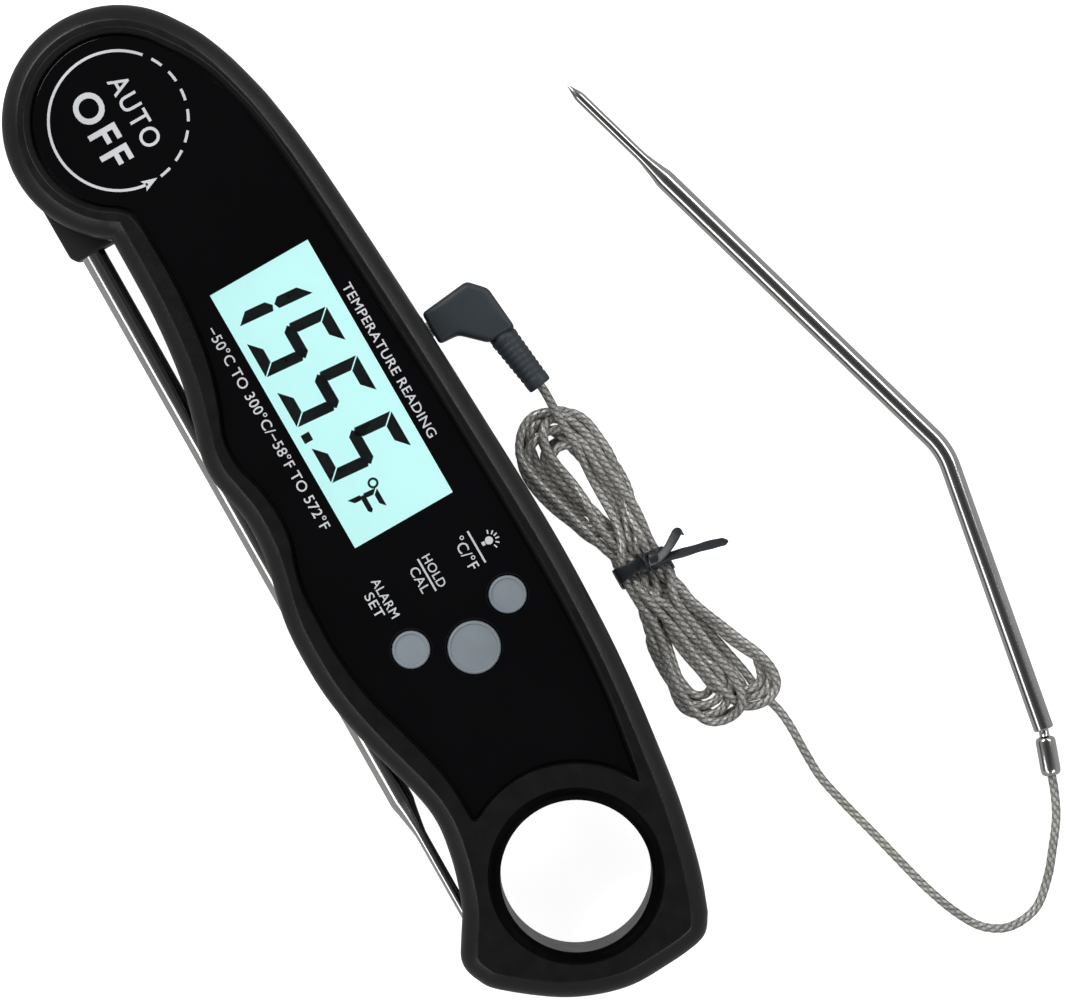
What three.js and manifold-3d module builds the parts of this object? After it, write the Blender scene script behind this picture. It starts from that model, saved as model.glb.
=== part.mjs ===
// A folding digital meat thermometer with a second, wired probe plugged into its side.
// Millimetres. The origin is on the axis that the folding probe turns about, on the flat back that the
// thermometer rests on. +X runs from the round head to the hanging ring, +Y towards the side with the
// jack, and +Z comes out of the display.

import * as THREE from 'three';
import { mergeVertices } from 'three/addons/utils/BufferGeometryUtils.js';
import Module from 'manifold-3d';

const wasm = await Module();
wasm.setup();

// ---- Driving dimensions -------------------------------------------------------------------------

const FIT = 0.3; // clearance between pieces that meet
const WALL = 2.0;

// The case is two shells that part at a flat joint, with the turning hub between them at the head.
const CASE_TOP = 18.0;
const BACK_TOP = 9.0;
const FRONT_BOTTOM = BACK_TOP + FIT;
const FLOOR_TOP = WALL;
const DECK_BOTTOM = 13.9; // the deck is the front shell's top wall, below the panel
const DECK_TOP = 15.6;
const PANEL_BOTTOM = DECK_TOP + FIT;
const PANEL_TOP = 16.7;
const RIM_CHAMFER = 1.6;

const PAST = 1; // a cutter reaches this far past the faces that it cuts
const OVERLAP = 0.1; // pieces that become one solid share this much

const HEAD_RADIUS = 17.7;
const HEAD_ARC_START = -33.6; // degrees, where the lower edge meets the head
const HEAD_ARC_END = 125; // degrees, where the upper edge leaves the head
const HEAD_WELL_RADIUS = 12.5;

const RING_CENTRE = [132.4, 3.2];
const RING_HOLE_RADIUS = 11.4;
const PANEL_RING_RADIUS = 17.3; // the panel ends in an arc about the ring

const CAVITY_X = [20.4, 112.8];
const CAVITY_Y_MIN = -7.6;
const CAVITY_EDGE = 2.4; // from the outline to the cavity, along the upper side
const BACK_EDGE_Y = -9.6; // the back shell's lower side, beside the folded probe
const BACK_INSET = 0.4; // the back shell is this much smaller than the front shell
const BACK_BEVEL = { inset: 0.7, height: 1.2 }; // round the back shell's bottom edge
const TIP_SLOT = { x: [110, 137.4], y: [-30, -12.3], floor: 4.2 }; // where the folded probe's tip lies
const WIRE_CHANNEL = { x: [8, 21.4], y: [-3, 3], top: 12 }; // from the head's well to the cavity

// The case outline after the head, going clockwise seen from the front: along the jack side, round the
// ring and back along the wavy finger grip.
const UPPER_EDGE = [
  [-5.9, 17.2], [-0.9, 19.25], [4.2, 20.7], [9.2, 21.75], [19.3, 23.0], [39.6, 24.3], [59.8, 25.2],
  [85, 26.0], [100.2, 25.7], [110.3, 25.0], [120.4, 23.8], [130.5, 22.3], [140.7, 19.9], [147.2, 17.6],
];
const RING_EDGE = [
  [147.2, 17.6], [150.2, 14.9], [151.1, 7.8], [150.8, 0.7], [147.7, -7.4], [141.7, -15.5],
  [138.6, -17.7], [135.4, -18.7],
];
const GRIP_EDGE = [
  [135.4, -18.7], [131.6, -16.3], [128.5, -14.4], [124.5, -12.9], [120.4, -11.8], [115.4, -11.1],
  [110.3, -11.7], [100.2, -14.4], [92, -16.0], [85, -16.4], [78, -16.0], [70.9, -14.4], [66.8, -13.6],
  [61.8, -13.4], [57.7, -14.0], [53.7, -14.7], [49.7, -14.4], [44.6, -12.9], [37.5, -11.2],
  [27.4, -10.1],
];
// The back shell's lower edge leaves room for the folded probe, then widens to carry the ring's corner.
const BACK_CORNER_EDGE = [[135.0, -18.2], [131.4, -15.9], [128.3, -14.0], [124.3, -12.2], [119, -10.2]];

// The panel outline, starting where its round head ends on the jack side.
const PANEL_HEAD_RADIUS = 12.8;
const PANEL_HEAD_ARC = [-39, 130];
const PANEL_RING_ARC = [119.5, 211.4];
const PANEL_UPPER_EDGE = [
  [-3, 13.4], [1, 15.3], [5, 16.5], [10, 17.7], [20, 18.9], [40, 20.0], [60, 20.9], [85, 21.4],
  [100, 21.2], [112, 20.2],
];
const PANEL_LOWER_EDGE = [
  [113, -5.9], [109, -6.3], [103, -7.7], [95, -9.9], [90, -10.8], [85, -11.2], [80, -11.1],
  [75, -10.8], [71.5, -10.0], [67.5, -8.7], [63.5, -8.3], [59, -8.7], [55, -9.7], [52, -10.0],
  [49, -9.6], [45, -8.0], [40, -6.4], [35, -5.4], [28, -4.6], [20, -4.4], [13, -4.9],
];

const WINDOW = { x: [29.6, 73.3], y: [-1.1, 15.8] };
const LCD_MARGIN = 1.1; // the glass is this much larger than the window all round
const BUTTONS = [
  { name: 'light_unit', x: 90.7, y: 15.3, radius: 2.85 },
  { name: 'hold_cal', x: 95.1, y: 7.0, radius: 4.0 },
  { name: 'alarm_set', x: 90.7, y: -1.4, radius: 2.85 },
];
const BUTTON_TOP = 17.5;
const BUTTON_FOOT = { z: [12.9, 13.6], reach: 0.9 };
const SWITCH = { half: 2.2, stem: 1.1, top: 12.0, step: 0.6 };
const LCD_GLASS_Z = [13.6, 15.5];
const BACKLIGHT = { z: [11.9, 13.3], side: 0.5, headroom: 1.6 };
const CONNECTOR = { end: 2, below: 1.2, above: 0.6 };

const BOARD = { x: [29.5, 103.5], y: [-6, 20.2], z: [8.4, 9.6] };
const SCREWS = [[25, 16.8], [24, -4.2], [108.2, 17.5], [108.6, -4.2], [142.6, -7.8], [143.2, 14.2]];
const SCREW = { shank: 1.1, head: 2.1, headZ: [0.9, 2.4], top: 12.6, column: 3.2, pilot: 3.0 };
const SCREW_CROSS = { reach: 1.3, half: 0.25, depth: 0.7 };
const CHIP = { x: [46, 56], y: [2, 12], top: 11.1 };
const BUZZER = { x: 67, y: 12, radius: 4.5, bottom: 4.6 };
const REED_SWITCH = { x: [4.3, 9.2], y: [5.9, 7.4], z: [9.7, 11.3] };

// The folding probe's hub turns on a hollow post, between the two shells.
const CAP_TOP = 3.6; // the back shell's head is a cap under the hub
const HUB = { radius: 17.2, z: [CAP_TOP + FIT, BACK_TOP] };
const HUB_CLEARANCE_RADIUS = 17.9;
const BOSS = { x: [2, 14.55], y: [-17.0, -10], corner: 1.4 };
const POST = { outer: 4.2, inner: 2.6, z: [2.3, 11.6] };
const SEAL = { outer: 6.3, z: [7.6, 8.9] }; // a ring round the post, in the hub's top
const FRICTION_WASHER = { inner: 4.6, outer: 9.0, z: [2.9, CAP_TOP] };
const RETAINING_RING = { outer: 6.9, z: [9.4, 10.3] };
const BOSS_SWEEP = { x: 15.1, y: -9 }; // the back shell stays clear of this as the boss turns
const PROBE_Z = (HUB.z[0] + HUB.z[1]) / 2;
const PROBE_RADIUS = 1.88;
const PROBE_Y = -13.72; // where the probe's axis leaves the hub
const PROBE_LEAN = -0.42; // degrees; the folded probe leans a little away from the case
const PROBE_TUBE = { start: 7.5, taper: 110.5, thin: 115.8, end: 135.4, tip: 0.86, wall: 0.45 };
const MAGNET = { x: 6.6, y: 6.6, radius: 2.0, z: [6.7, 8.7] };

const BATTERY = { x: 88, y: 6.5, radius: 10, z: [3.6, 6.8] };
const BATTERY_CLIP = { thickness: 0.5, rise: 0.4, x: [-16, -6], y: [-5, 5] };
const BATTERY_LEAF = { x: 4, y: 1.5 };
const COVER = { radius: 11.3, lugRadius: 12.6, lugAngle: 26, rim: 1.6, z: [FIT, 1.9], lugZ: [2.3, 3.1] };
const LUG_NOTCH_ANGLE = 30; // degrees; a little wider than a lug
const COVER_UNLOCK = 40; // degrees from locked to where the lugs meet their notches
const COIN_SLOT = { length: 15, width: 1.8, depth: 0.8 };

// The wired probe's lead: a right-angle plug, a thin cord tied in a hank, and a bent steel probe.
const JACK = { x: 49.95, z: 5.4, mouthY: 24.9, bore: 1.75, throat: 1.55 };
const JACK_BODY = { half: 4.4, y: [11.2, 21.7], below: 2.4, above: 2.1, bottomY: 13.0 };
const JACK_COLLAR = { inner: 1.6, outer: 2.3, depth: [1.3, 0.1], seat: { radius: 2.6, depth: 1.6 } };
const PLUG_PIN = { radius: 1.25, sleeve: [18.2, 25.1], insulator: [17.3, 17.9], step: 0.1, tipY: 17.0 };
const PLUG_HEIGHT = 5.3;
const PLUG_CHAMFER = 0.6;
const PLUG_OUTLINE = [
  [52.6, 25.4], [52.85, 28.3], [56.2, 31.8], [56.2, 36.4], [49.0, 35.8], [46.4, 33.4], [47.3, 25.4],
];
const RELIEF = { start: [56.5, 34.1], turn: 7.5, length: 9.4, radius: [2.2, 1.9] };
const CORD_DIAMETER = 1.4;
const HANK_TOP = 6.0;
const TIE_X = [96.9, 99.1];
const TIE_SPACE = 1.1; // the cord is lifted this much where the tie passes under it
const TIE = {
  around: [30.5, 39.5],
  band: 0.7,
  knot: { centre: [98, 37], radius: 1.4, z: [6.9, 7.8] },
  tailRadius: 0.55,
  tails: [
    [[98.0, 37.2, 7.3], [98.5, 40.5, 6.7], [99.5, 44.6, 4.2], [100.9, 48.6, 2.2]],
    [[97.8, 37.0, 7.3], [97.2, 39.4, 7.2], [96.4, 41.2, 6.8], [96.1, 42.6, 6.2]],
  ],
};
const HANK_OUTLINE = [
  [68.1, 31.5], [69.2, 28.3], [72.5, 26.5], [76.5, 26.2], [81, 26.7], [87, 28.1], [93, 30.1],
  [98, 30.8], [103, 30.6], [108, 29.7], [114, 29.1], [120, 29.1], [123.6, 30.6], [125.9, 33.6],
  [126.3, 38], [126.0, 42.3], [123.4, 44.9], [119, 44.5], [113.5, 43.2], [108, 41.0], [103.5, 39.9],
  [98, 39.2], [91, 39.3], [84, 40.2], [78, 40.2], [72.5, 39.1], [69.2, 36.8],
];
const CORD_START_ROUTE = [[66.12, 35.4, 5.4], [67.2, 35.5, 5.4], [68.4, 35.5, 5.35]];
const CORD_RUN_ROUTE = [
  [126.6, 42.4, 0.7], [128.6, 42.55, 0.7], [131.2, 42.6, 0.7], [135.2, 42.55, 0.7],
  [139.2, 42.7, 0.7], [144.8, 43.9, 0.7], [150.5, 45.4, 0.7], [156.2, 46.8, 0.7], [161.9, 48.3, 0.7],
  [167.6, 50.4, 0.7], [171.5, 52.8, 0.7], [173.6, 56.3, 0.7], [173.2, 61.2, 0.7], [169.9, 65.3, 0.8],
  [166.5, 68.1, 0.9], [162.5, 71.0, 1.2], [159.2, 72.6, 1.45], [157.2, 73.35, 1.55],
];
const FERRULE = { start: [156.9, 73.45], end: [150.9, 75.6], radius: 1.55, neck: 1.3 };
const WIRED_PROBE = {
  tip: [27.7, 61.9], bend: [105.15, 84.2], end: [149.9, 76.05], radius: 1.55, bendRadius: 12,
  thinLength: 16, taperEnd: 20.5, tipRadius: 0.82, wall: 0.4,
};

// ---- Materials ----------------------------------------------------------------------------------

function finish(color, roughness, metalness = 0) {
  return new THREE.MeshStandardMaterial({ color, roughness, metalness });
}

const CASE_BLACK = finish(0x222224, 0.55);
const PANEL_BLACK = finish(0x0a0b0d, 0.12);
const BUTTON_GREY = finish(0x9099a1, 0.5);
const HUB_BLACK = finish(0x1c1c1e, 0.7);
const STEEL = finish(0xc8cbce, 0.22, 1);
const BRAID = finish(0x9a9fa5, 0.4, 1);
const CORD_SLATE = finish(0x3a4248, 0.55);
const TIE_BLACK = finish(0x2b3138, 0.6);
const BRASS = finish(0xc9a35a, 0.3, 1);
const RUBBER = finish(0x18191b, 0.85);
const BOARD_GREEN = finish(0x1f5a38, 0.5);
const CHIP_BLACK = finish(0x151517, 0.4);
const LENS_CLEAR = finish(0xc8fffc, 0.08);
const LCD_CYAN = finish(0xa8f4f0, 0.2);

// ---- Solids -------------------------------------------------------------------------------------

function solid(geometry) {
  const bare = geometry.index ? geometry.toNonIndexed() : geometry.clone();
  bare.deleteAttribute('normal');
  bare.deleteAttribute('uv');
  const merged = mergeVertices(bare, 1e-4);
  return new wasm.Manifold(new wasm.Mesh({
    numProp: 3,
    vertProperties: Float32Array.from(merged.attributes.position.array),
    triVerts: Uint32Array.from(merged.index.array),
  }));
}

function geometryOf(manifold) {
  const { vertProperties, triVerts } = manifold.getMesh();
  const geometry = new THREE.BufferGeometry();
  geometry.setAttribute('position', new THREE.BufferAttribute(Float32Array.from(vertProperties), 3));
  geometry.setIndex(new THREE.BufferAttribute(Uint32Array.from(triVerts), 1));
  return geometry;
}

function piece(name, manifold, material) {
  const mesh = new THREE.Mesh(geometryOf(manifold), material);
  mesh.name = name;
  return mesh;
}

function box([x0, x1], [y0, y1], [z0, z1]) {
  const geometry = new THREE.BoxGeometry(x1 - x0, y1 - y0, z1 - z0);
  geometry.translate((x0 + x1) / 2, (y0 + y1) / 2, (z0 + z1) / 2);
  return solid(geometry);
}

function drum(x, y, radius, [z0, z1], sides = 24) {
  const geometry = new THREE.CylinderGeometry(radius, radius, z1 - z0, sides);
  geometry.rotateX(Math.PI / 2);
  geometry.translate(x, y, (z0 + z1) / 2);
  return solid(geometry);
}

// A cylinder along Y, such as a bore in a side wall.
function sideDrum(x, z, radius, [y0, y1], sides = 16) {
  const geometry = new THREE.CylinderGeometry(radius, radius, y1 - y0, sides);
  geometry.translate(x, (y0 + y1) / 2, z);
  return solid(geometry);
}

function washer(x, y, inner, outer, zRange, sides = 24) {
  return drum(x, y, outer, zRange, sides).subtract(drum(x, y, inner, [zRange[0] - 1, zRange[1] + 1], sides));
}

function slab(points, [z0, z1]) {
  const shape = new THREE.Shape(points);
  const geometry = new THREE.ExtrudeGeometry(shape, { depth: z1 - z0, bevelEnabled: false });
  geometry.translate(0, 0, z0);
  return solid(geometry);
}

// A slab whose top and bottom edges are chamfered inwards.
function chamferedSlab(points, [z0, z1], chamfer, segments = 1) {
  const shape = new THREE.Shape(points);
  const geometry = new THREE.ExtrudeGeometry(shape, {
    depth: z1 - z0 - 2 * chamfer,
    bevelThickness: chamfer,
    bevelSize: chamfer,
    bevelOffset: -chamfer,
    bevelSegments: segments,
  });
  geometry.translate(0, 0, z0 + chamfer);
  return solid(geometry);
}

// A solid of revolution about +X. The profile's points are [distance along X, radius].
function spindle(profile, sides = 16) {
  const geometry = new THREE.LatheGeometry(profile.map(([x, r]) => new THREE.Vector2(r, x)), sides);
  geometry.rotateZ(-Math.PI / 2);
  return geometry;
}

// A round tube along a route of [x, y, z] points, with one ring of vertices at each step.
function tubeAlong(route, radius, steps, sides = 8) {
  const section = new THREE.Shape(circlePoints(0, 0, radius, 0, 360, sides).slice(0, -1));
  const path = new THREE.CatmullRomCurve3(route.map((point) => new THREE.Vector3(...point)));
  return solid(new THREE.ExtrudeGeometry(section, { steps, bevelEnabled: false, extrudePath: path }));
}

function circlePoints(x, y, radius, startDegrees, endDegrees, steps) {
  return Array.from({ length: steps + 1 }, (_, i) => {
    const angle = THREE.MathUtils.degToRad(startDegrees + ((endDegrees - startDegrees) * i) / steps);
    return new THREE.Vector2(x + radius * Math.cos(angle), y + radius * Math.sin(angle));
  });
}

function splinePoints(points, steps) {
  return new THREE.SplineCurve(points.map(([x, y]) => new THREE.Vector2(x, y))).getSpacedPoints(steps);
}

// Moves every side of a closed outline inwards. The outline is clockwise, and sharp corners stay sharp.
function inset(points, distance) {
  return points.map((point, i) => {
    const before = points[(i + points.length - 1) % points.length];
    const after = points[(i + 1) % points.length];
    const arriving = point.clone().sub(before).normalize();
    const leaving = after.clone().sub(point).normalize();
    const reach = distance / Math.max(1 + arriving.dot(leaving), 0.4);
    return new THREE.Vector2(
      point.x + (arriving.y + leaving.y) * reach,
      point.y - (arriving.x + leaving.x) * reach,
    );
  });
}

// ---- Outlines -----------------------------------------------------------------------------------

function headArc(radius, steps) {
  return circlePoints(0, 0, radius, HEAD_ARC_START, HEAD_ARC_END - 360, steps);
}

// The case outline from the head, along the jack side and round the ring to its lower corner.
function outlineBeforeGrip() {
  const head = headArc(HEAD_RADIUS, 26);
  const headEnd = head[head.length - 1];
  const upper = splinePoints([[headEnd.x, headEnd.y], ...UPPER_EDGE], 26);
  return [...head, ...upper.slice(1), ...splinePoints(RING_EDGE, 14).slice(1)];
}

function caseOutline() {
  const before = outlineBeforeGrip();
  const grip = splinePoints([...GRIP_EDGE, [before[0].x + 0.3, before[0].y]], 44);
  return [...before, ...grip.slice(1, -1)];
}

function backOutline() {
  const before = inset(outlineBeforeGrip(), BACK_INSET);
  const corner = splinePoints(BACK_CORNER_EDGE, 6);
  return [...before.slice(1, -1), ...corner, new THREE.Vector2(15.4, BACK_EDGE_Y)];
}

function panelOutline() {
  const [headStart, headEnd] = PANEL_HEAD_ARC;
  const [ringStart, ringEnd] = PANEL_RING_ARC;
  const head = circlePoints(0, 0, PANEL_HEAD_RADIUS, headStart, headEnd - 360, 22);
  const ring = circlePoints(...RING_CENTRE, PANEL_RING_RADIUS, ringStart, ringEnd, 10);
  const headTop = head[head.length - 1];
  const upper = splinePoints([[headTop.x, headTop.y], ...PANEL_UPPER_EDGE, [ring[0].x, ring[0].y]], 22);
  const ringFoot = ring[ring.length - 1];
  const lower = splinePoints([[ringFoot.x, ringFoot.y], ...PANEL_LOWER_EDGE, [head[0].x, head[0].y]], 40);
  return [...head, ...upper.slice(1), ...ring.slice(1), ...lower.slice(1, -1)];
}

function cavityOutline() {
  const [x0, x1] = CAVITY_X;
  const upper = splinePoints(UPPER_EDGE, 40).filter(({ x }) => x > x0 && x < x1);
  const roof = upper.map(({ x, y }) => new THREE.Vector2(x, y - CAVITY_EDGE));
  return [
    new THREE.Vector2(x0, CAVITY_Y_MIN), new THREE.Vector2(x0, roof[0].y), ...roof,
    new THREE.Vector2(x1, roof[roof.length - 1].y), new THREE.Vector2(x1, CAVITY_Y_MIN),
  ];
}

function grown(points, distance) {
  return inset(points, -distance);
}

// ---- Case ---------------------------------------------------------------------------------------

function ringHole(radius, zRange) {
  return drum(...RING_CENTRE, radius, zRange, 32);
}

function makeFrontShell() {
  let shell = chamferedSlab(caseOutline(), [FRONT_BOTTOM - 2 * RIM_CHAMFER, CASE_TOP], RIM_CHAMFER);
  shell = shell.subtract(box([-40, 180], [-40, 60], [0, FRONT_BOTTOM]));
  shell = shell.subtract(slab(cavityOutline(), [FRONT_BOTTOM - PAST, DECK_BOTTOM]));
  shell = shell.subtract(drum(0, 0, HEAD_WELL_RADIUS, [FRONT_BOTTOM - PAST, DECK_BOTTOM], 28));
  shell = shell.subtract(box(WIRE_CHANNEL.x, WIRE_CHANNEL.y, [FRONT_BOTTOM - PAST, WIRE_CHANNEL.top]));
  for (const [x, y] of SCREWS) {
    if (x < CAVITY_X[1]) {
      shell = shell.add(drum(x, y, SCREW.pilot, [FRONT_BOTTOM, DECK_BOTTOM + OVERLAP], 16));
    }
    shell = shell.subtract(drum(x, y, SCREW.shank + FIT, [FRONT_BOTTOM - PAST, SCREW.top + FIT], 12));
  }
  shell = shell.subtract(slab(grown(panelOutline(), FIT), [DECK_TOP, CASE_TOP + PAST]));
  const lcdX = [WINDOW.x[0] - LCD_MARGIN - FIT, WINDOW.x[1] + LCD_MARGIN + FIT];
  const lcdY = [WINDOW.y[0] - LCD_MARGIN - FIT, WINDOW.y[1] + LCD_MARGIN + FIT];
  shell = shell.subtract(box(lcdX, lcdY, [DECK_BOTTOM - PAST, DECK_TOP + PAST]));
  for (const { x, y, radius } of BUTTONS) {
    shell = shell.subtract(drum(x, y, radius + FIT, [DECK_BOTTOM - PAST, DECK_TOP + PAST], 24));
  }
  return shell.subtract(ringHole(RING_HOLE_RADIUS, [0, CASE_TOP + PAST]));
}

function makeBackShell() {
  const through = BACK_TOP + PAST;
  let shell = slab(backOutline(), [BACK_BEVEL.height, BACK_TOP]);
  shell = shell.add(slab(inset(backOutline(), BACK_BEVEL.inset), [0, BACK_BEVEL.height + OVERLAP]));
  // The hub and its boss turn through the middle level of the head.
  shell = shell.subtract(drum(0, 0, HUB_CLEARANCE_RADIUS, [CAP_TOP, through], 48));
  shell = shell.subtract(box([-40, 1], [-40, 40], [CAP_TOP, through]));
  shell = shell.subtract(box([-40, BOSS_SWEEP.x], [-40, BOSS_SWEEP.y], [CAP_TOP, through]));
  shell = shell.subtract(box(TIP_SLOT.x, TIP_SLOT.y, [TIP_SLOT.floor, through]));
  shell = shell.subtract(slab(cavityOutline(), [FLOOR_TOP, through]));
  for (const [x, y] of SCREWS) {
    if (x < CAVITY_X[1]) {
      shell = shell.add(drum(x, y, SCREW.column, [FLOOR_TOP - OVERLAP, BACK_TOP], 16));
    }
    shell = shell.subtract(drum(x, y, SCREW.head + FIT, [-PAST, SCREW.headZ[1] + FIT], 16));
    shell = shell.subtract(drum(x, y, SCREW.shank + FIT, [0, through], 12));
  }
  shell = shell.subtract(drum(0, 0, POST.outer + FIT, [FLOOR_TOP, BACK_TOP], 24));
  const washerSeat = [FRICTION_WASHER.z[0] - FIT, BACK_TOP];
  shell = shell.subtract(drum(0, 0, FRICTION_WASHER.outer + FIT, washerSeat, 24));
  const coverSeat = [-PAST, FLOOR_TOP + PAST];
  shell = shell.subtract(drum(BATTERY.x, BATTERY.y, COVER.radius + FIT, coverSeat, 36));
  shell = shell.subtract(coverLugs(COVER.lugRadius + FIT, LUG_NOTCH_ANGLE, coverSeat, COVER_UNLOCK));
  const { seat } = JACK_COLLAR;
  shell = shell.subtract(sideDrum(JACK.x, JACK.z, JACK.bore, [15, 30]));
  shell = shell.subtract(sideDrum(JACK.x, JACK.z, seat.radius, [JACK.mouthY - seat.depth, 30]));
  return shell.subtract(ringHole(RING_HOLE_RADIUS + BACK_INSET / 2, [-PAST, through]));
}

function makeFrontPanel() {
  let panel = slab(panelOutline(), [PANEL_BOTTOM, PANEL_TOP]);
  const [x0, x1] = WINDOW.x;
  const [y0, y1] = WINDOW.y;
  const z = [PANEL_BOTTOM - PAST, PANEL_TOP + PAST];
  panel = panel.subtract(box([x0 - FIT / 2, x1 + FIT / 2], [y0 - FIT / 2, y1 + FIT / 2], z));
  for (const { x, y, radius } of BUTTONS) {
    panel = panel.subtract(drum(x, y, radius + FIT, z, 24));
  }
  return panel;
}

function makeScrew([x, y]) {
  const { reach, half, depth } = SCREW_CROSS;
  const head = drum(x, y, SCREW.head, SCREW.headZ, 12);
  const shank = drum(x, y, SCREW.shank, [SCREW.headZ[1] - OVERLAP, SCREW.top], 8);
  const slotZ = [SCREW.headZ[0] - PAST, SCREW.headZ[0] + depth];
  const across = box([x - reach, x + reach], [y - half, y + half], slotZ);
  const along = box([x - half, x + half], [y - reach, y + reach], slotZ);
  return head.add(shank).subtract(across).subtract(along);
}

// ---- Display, board and switches ----------------------------------------------------------------

function makeDisplay(group) {
  const half = FIT / 2;
  const [x0, x1] = WINDOW.x;
  const [y0, y1] = WINDOW.y;
  const m = LCD_MARGIN;
  const lens = box([x0 + half, x1 - half], [y0 + half, y1 - half], [PANEL_BOTTOM, PANEL_TOP]);
  group.add(piece('display_window', lens, LENS_CLEAR));
  group.add(piece('lcd_glass', box([x0 - m, x1 + m], [y0 - m, y1 + m], LCD_GLASS_Z), LCD_CYAN));
  const lightX = [x0 - BACKLIGHT.side, x1 + BACKLIGHT.side];
  const light = box(lightX, [y0, y1 - BACKLIGHT.headroom], BACKLIGHT.z);
  group.add(piece('lcd_backlight', light, LENS_CLEAR));
  const connectorX = [x0 + CONNECTOR.end, x1 - CONNECTOR.end];
  const connectorY = [y1 - CONNECTOR.below, y1 + CONNECTOR.above];
  const connector = box(connectorX, connectorY, [BOARD.z[1] + FIT, BACKLIGHT.z[1]]);
  group.add(piece('lcd_connector', connector, RUBBER));
}

function makeBoard() {
  return box(BOARD.x, BOARD.y, BOARD.z);
}

function makeSwitch({ x, y }) {
  const { half, stem, top, step } = SWITCH;
  const body = box([x - half, x + half], [y - half, y + half], [BOARD.z[1] + FIT, top - step]);
  return body.add(drum(x, y, stem, [top - step - OVERLAP, top], 12));
}

// A cap with a slightly domed top, held under the deck by a wider foot.
function makeButton({ x, y, radius }) {
  const [footBottom, footTop] = BUTTON_FOOT.z;
  const footRadius = radius + BUTTON_FOOT.reach;
  const cap = spindle([
    [footBottom, 0], [footBottom, footRadius], [footTop, footRadius], [footTop, radius],
    [BUTTON_TOP - 0.5, radius], [BUTTON_TOP - 0.15, radius - 0.4], [BUTTON_TOP, radius * 0.5],
    [BUTTON_TOP, 0],
  ], 24);
  cap.rotateY(-Math.PI / 2);
  cap.translate(x, y, 0);
  return solid(cap);
}

function makeJackSocket() {
  const { half, y, below, above, bottomY } = JACK_BODY;
  const body = box([JACK.x - half, JACK.x + half], y, [JACK.z - below, JACK.z + above]);
  return body.subtract(sideDrum(JACK.x, JACK.z, JACK.throat, [bottomY, 30]));
}

function makeJackCollar() {
  const { inner, outer, depth } = JACK_COLLAR;
  const y = [JACK.mouthY - depth[0], JACK.mouthY - depth[1]];
  const hole = sideDrum(JACK.x, JACK.z, inner, [y[0] - PAST, y[1] + PAST]);
  return sideDrum(JACK.x, JACK.z, outer, y).subtract(hole);
}

// ---- Battery ------------------------------------------------------------------------------------

// Three lugs of a bayonet fitting, each an arc of a ring about the battery's axis.
function coverLugs(radius, width, zRange, turn) {
  const lugs = [0, 120, 240].map((angle) => {
    const arc = circlePoints(0, 0, radius, angle + turn - width / 2, angle + turn + width / 2, 4);
    return slab([new THREE.Vector2(0, 0), ...arc], zRange);
  });
  return lugs[0].add(lugs[1]).add(lugs[2]).translate([BATTERY.x, BATTERY.y, 0]);
}

function makeBatteryCover() {
  const { x, y } = BATTERY;
  const bore = COVER.radius - COVER.rim;
  let cover = drum(x, y, COVER.radius, COVER.z, 36);
  cover = cover.add(washer(x, y, bore, COVER.radius, [COVER.z[1] - OVERLAP, COVER.lugZ[1]], 36));
  const lugs = coverLugs(COVER.lugRadius, COVER.lugAngle, COVER.lugZ, 0);
  cover = cover.add(lugs.subtract(drum(x, y, bore, [0, COVER.lugZ[1] + PAST], 36)));
  const { length, width, depth } = COIN_SLOT;
  const slotX = [x - length / 2, x + length / 2];
  return cover.subtract(box(slotX, [y - width / 2, y + width / 2], [-PAST, COVER.z[0] + depth]));
}

function makePositiveClip() {
  const { x, y, radius, z } = BATTERY;
  const { thickness, rise, x: keepX, y: keepY } = BATTERY_CLIP;
  const clipZ = [z[0] + rise, BOARD.z[0] - FIT];
  const clip = washer(x, y, radius + FIT, radius + FIT + thickness, clipZ, 36);
  return clip.intersect(box([x + keepX[0], x + keepX[1]], [y + keepY[0], y + keepY[1]], [0, BACK_TOP]));
}

// ---- Folding probe ------------------------------------------------------------------------------

function makeHub() {
  const [x0, x1] = BOSS.x;
  const [y0, y1] = BOSS.y;
  const corner = circlePoints(x1 - BOSS.corner, y0 + BOSS.corner, BOSS.corner, -90, 0, 4);
  const bossTop = [new THREE.Vector2(x1, y1), new THREE.Vector2(x0, y1)];
  const boss = slab([new THREE.Vector2(x0, y0), ...corner, ...bossTop], HUB.z);
  let hub = drum(0, 0, HUB.radius, HUB.z, 48).add(boss);
  hub = hub.subtract(drum(0, 0, POST.outer + FIT, [0, BACK_TOP + PAST], 24));
  hub = hub.subtract(drum(0, 0, SEAL.outer + FIT, [SEAL.z[0] - FIT, BACK_TOP + PAST], 24));
  hub = hub.subtract(drum(MAGNET.x, MAGNET.y, MAGNET.radius + FIT, [MAGNET.z[0] - FIT, BACK_TOP + PAST], 16));
  const bore = new THREE.CylinderGeometry(PROBE_RADIUS + FIT, PROBE_RADIUS + FIT, 20, 20);
  bore.rotateZ(Math.PI / 2);
  bore.translate(PROBE_TUBE.start - FIT + 10, PROBE_Y, PROBE_Z);
  return hub.subtract(solid(bore));
}

// A tube that is open inside the hub, with a cone down to a thin closed tip.
function makeProbeTube() {
  const { start, taper, thin, end, tip, wall } = PROBE_TUBE;
  return spindle([
    [end - 2.4, 0], [end - 2.4, tip - wall], [thin, tip - wall], [taper, PROBE_RADIUS - wall],
    [start, PROBE_RADIUS - wall], [start, PROBE_RADIUS], [taper, PROBE_RADIUS], [thin, tip],
    [end - 2.2, tip], [end - 0.5, tip * 0.45], [end, 0],
  ], 20);
}

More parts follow.
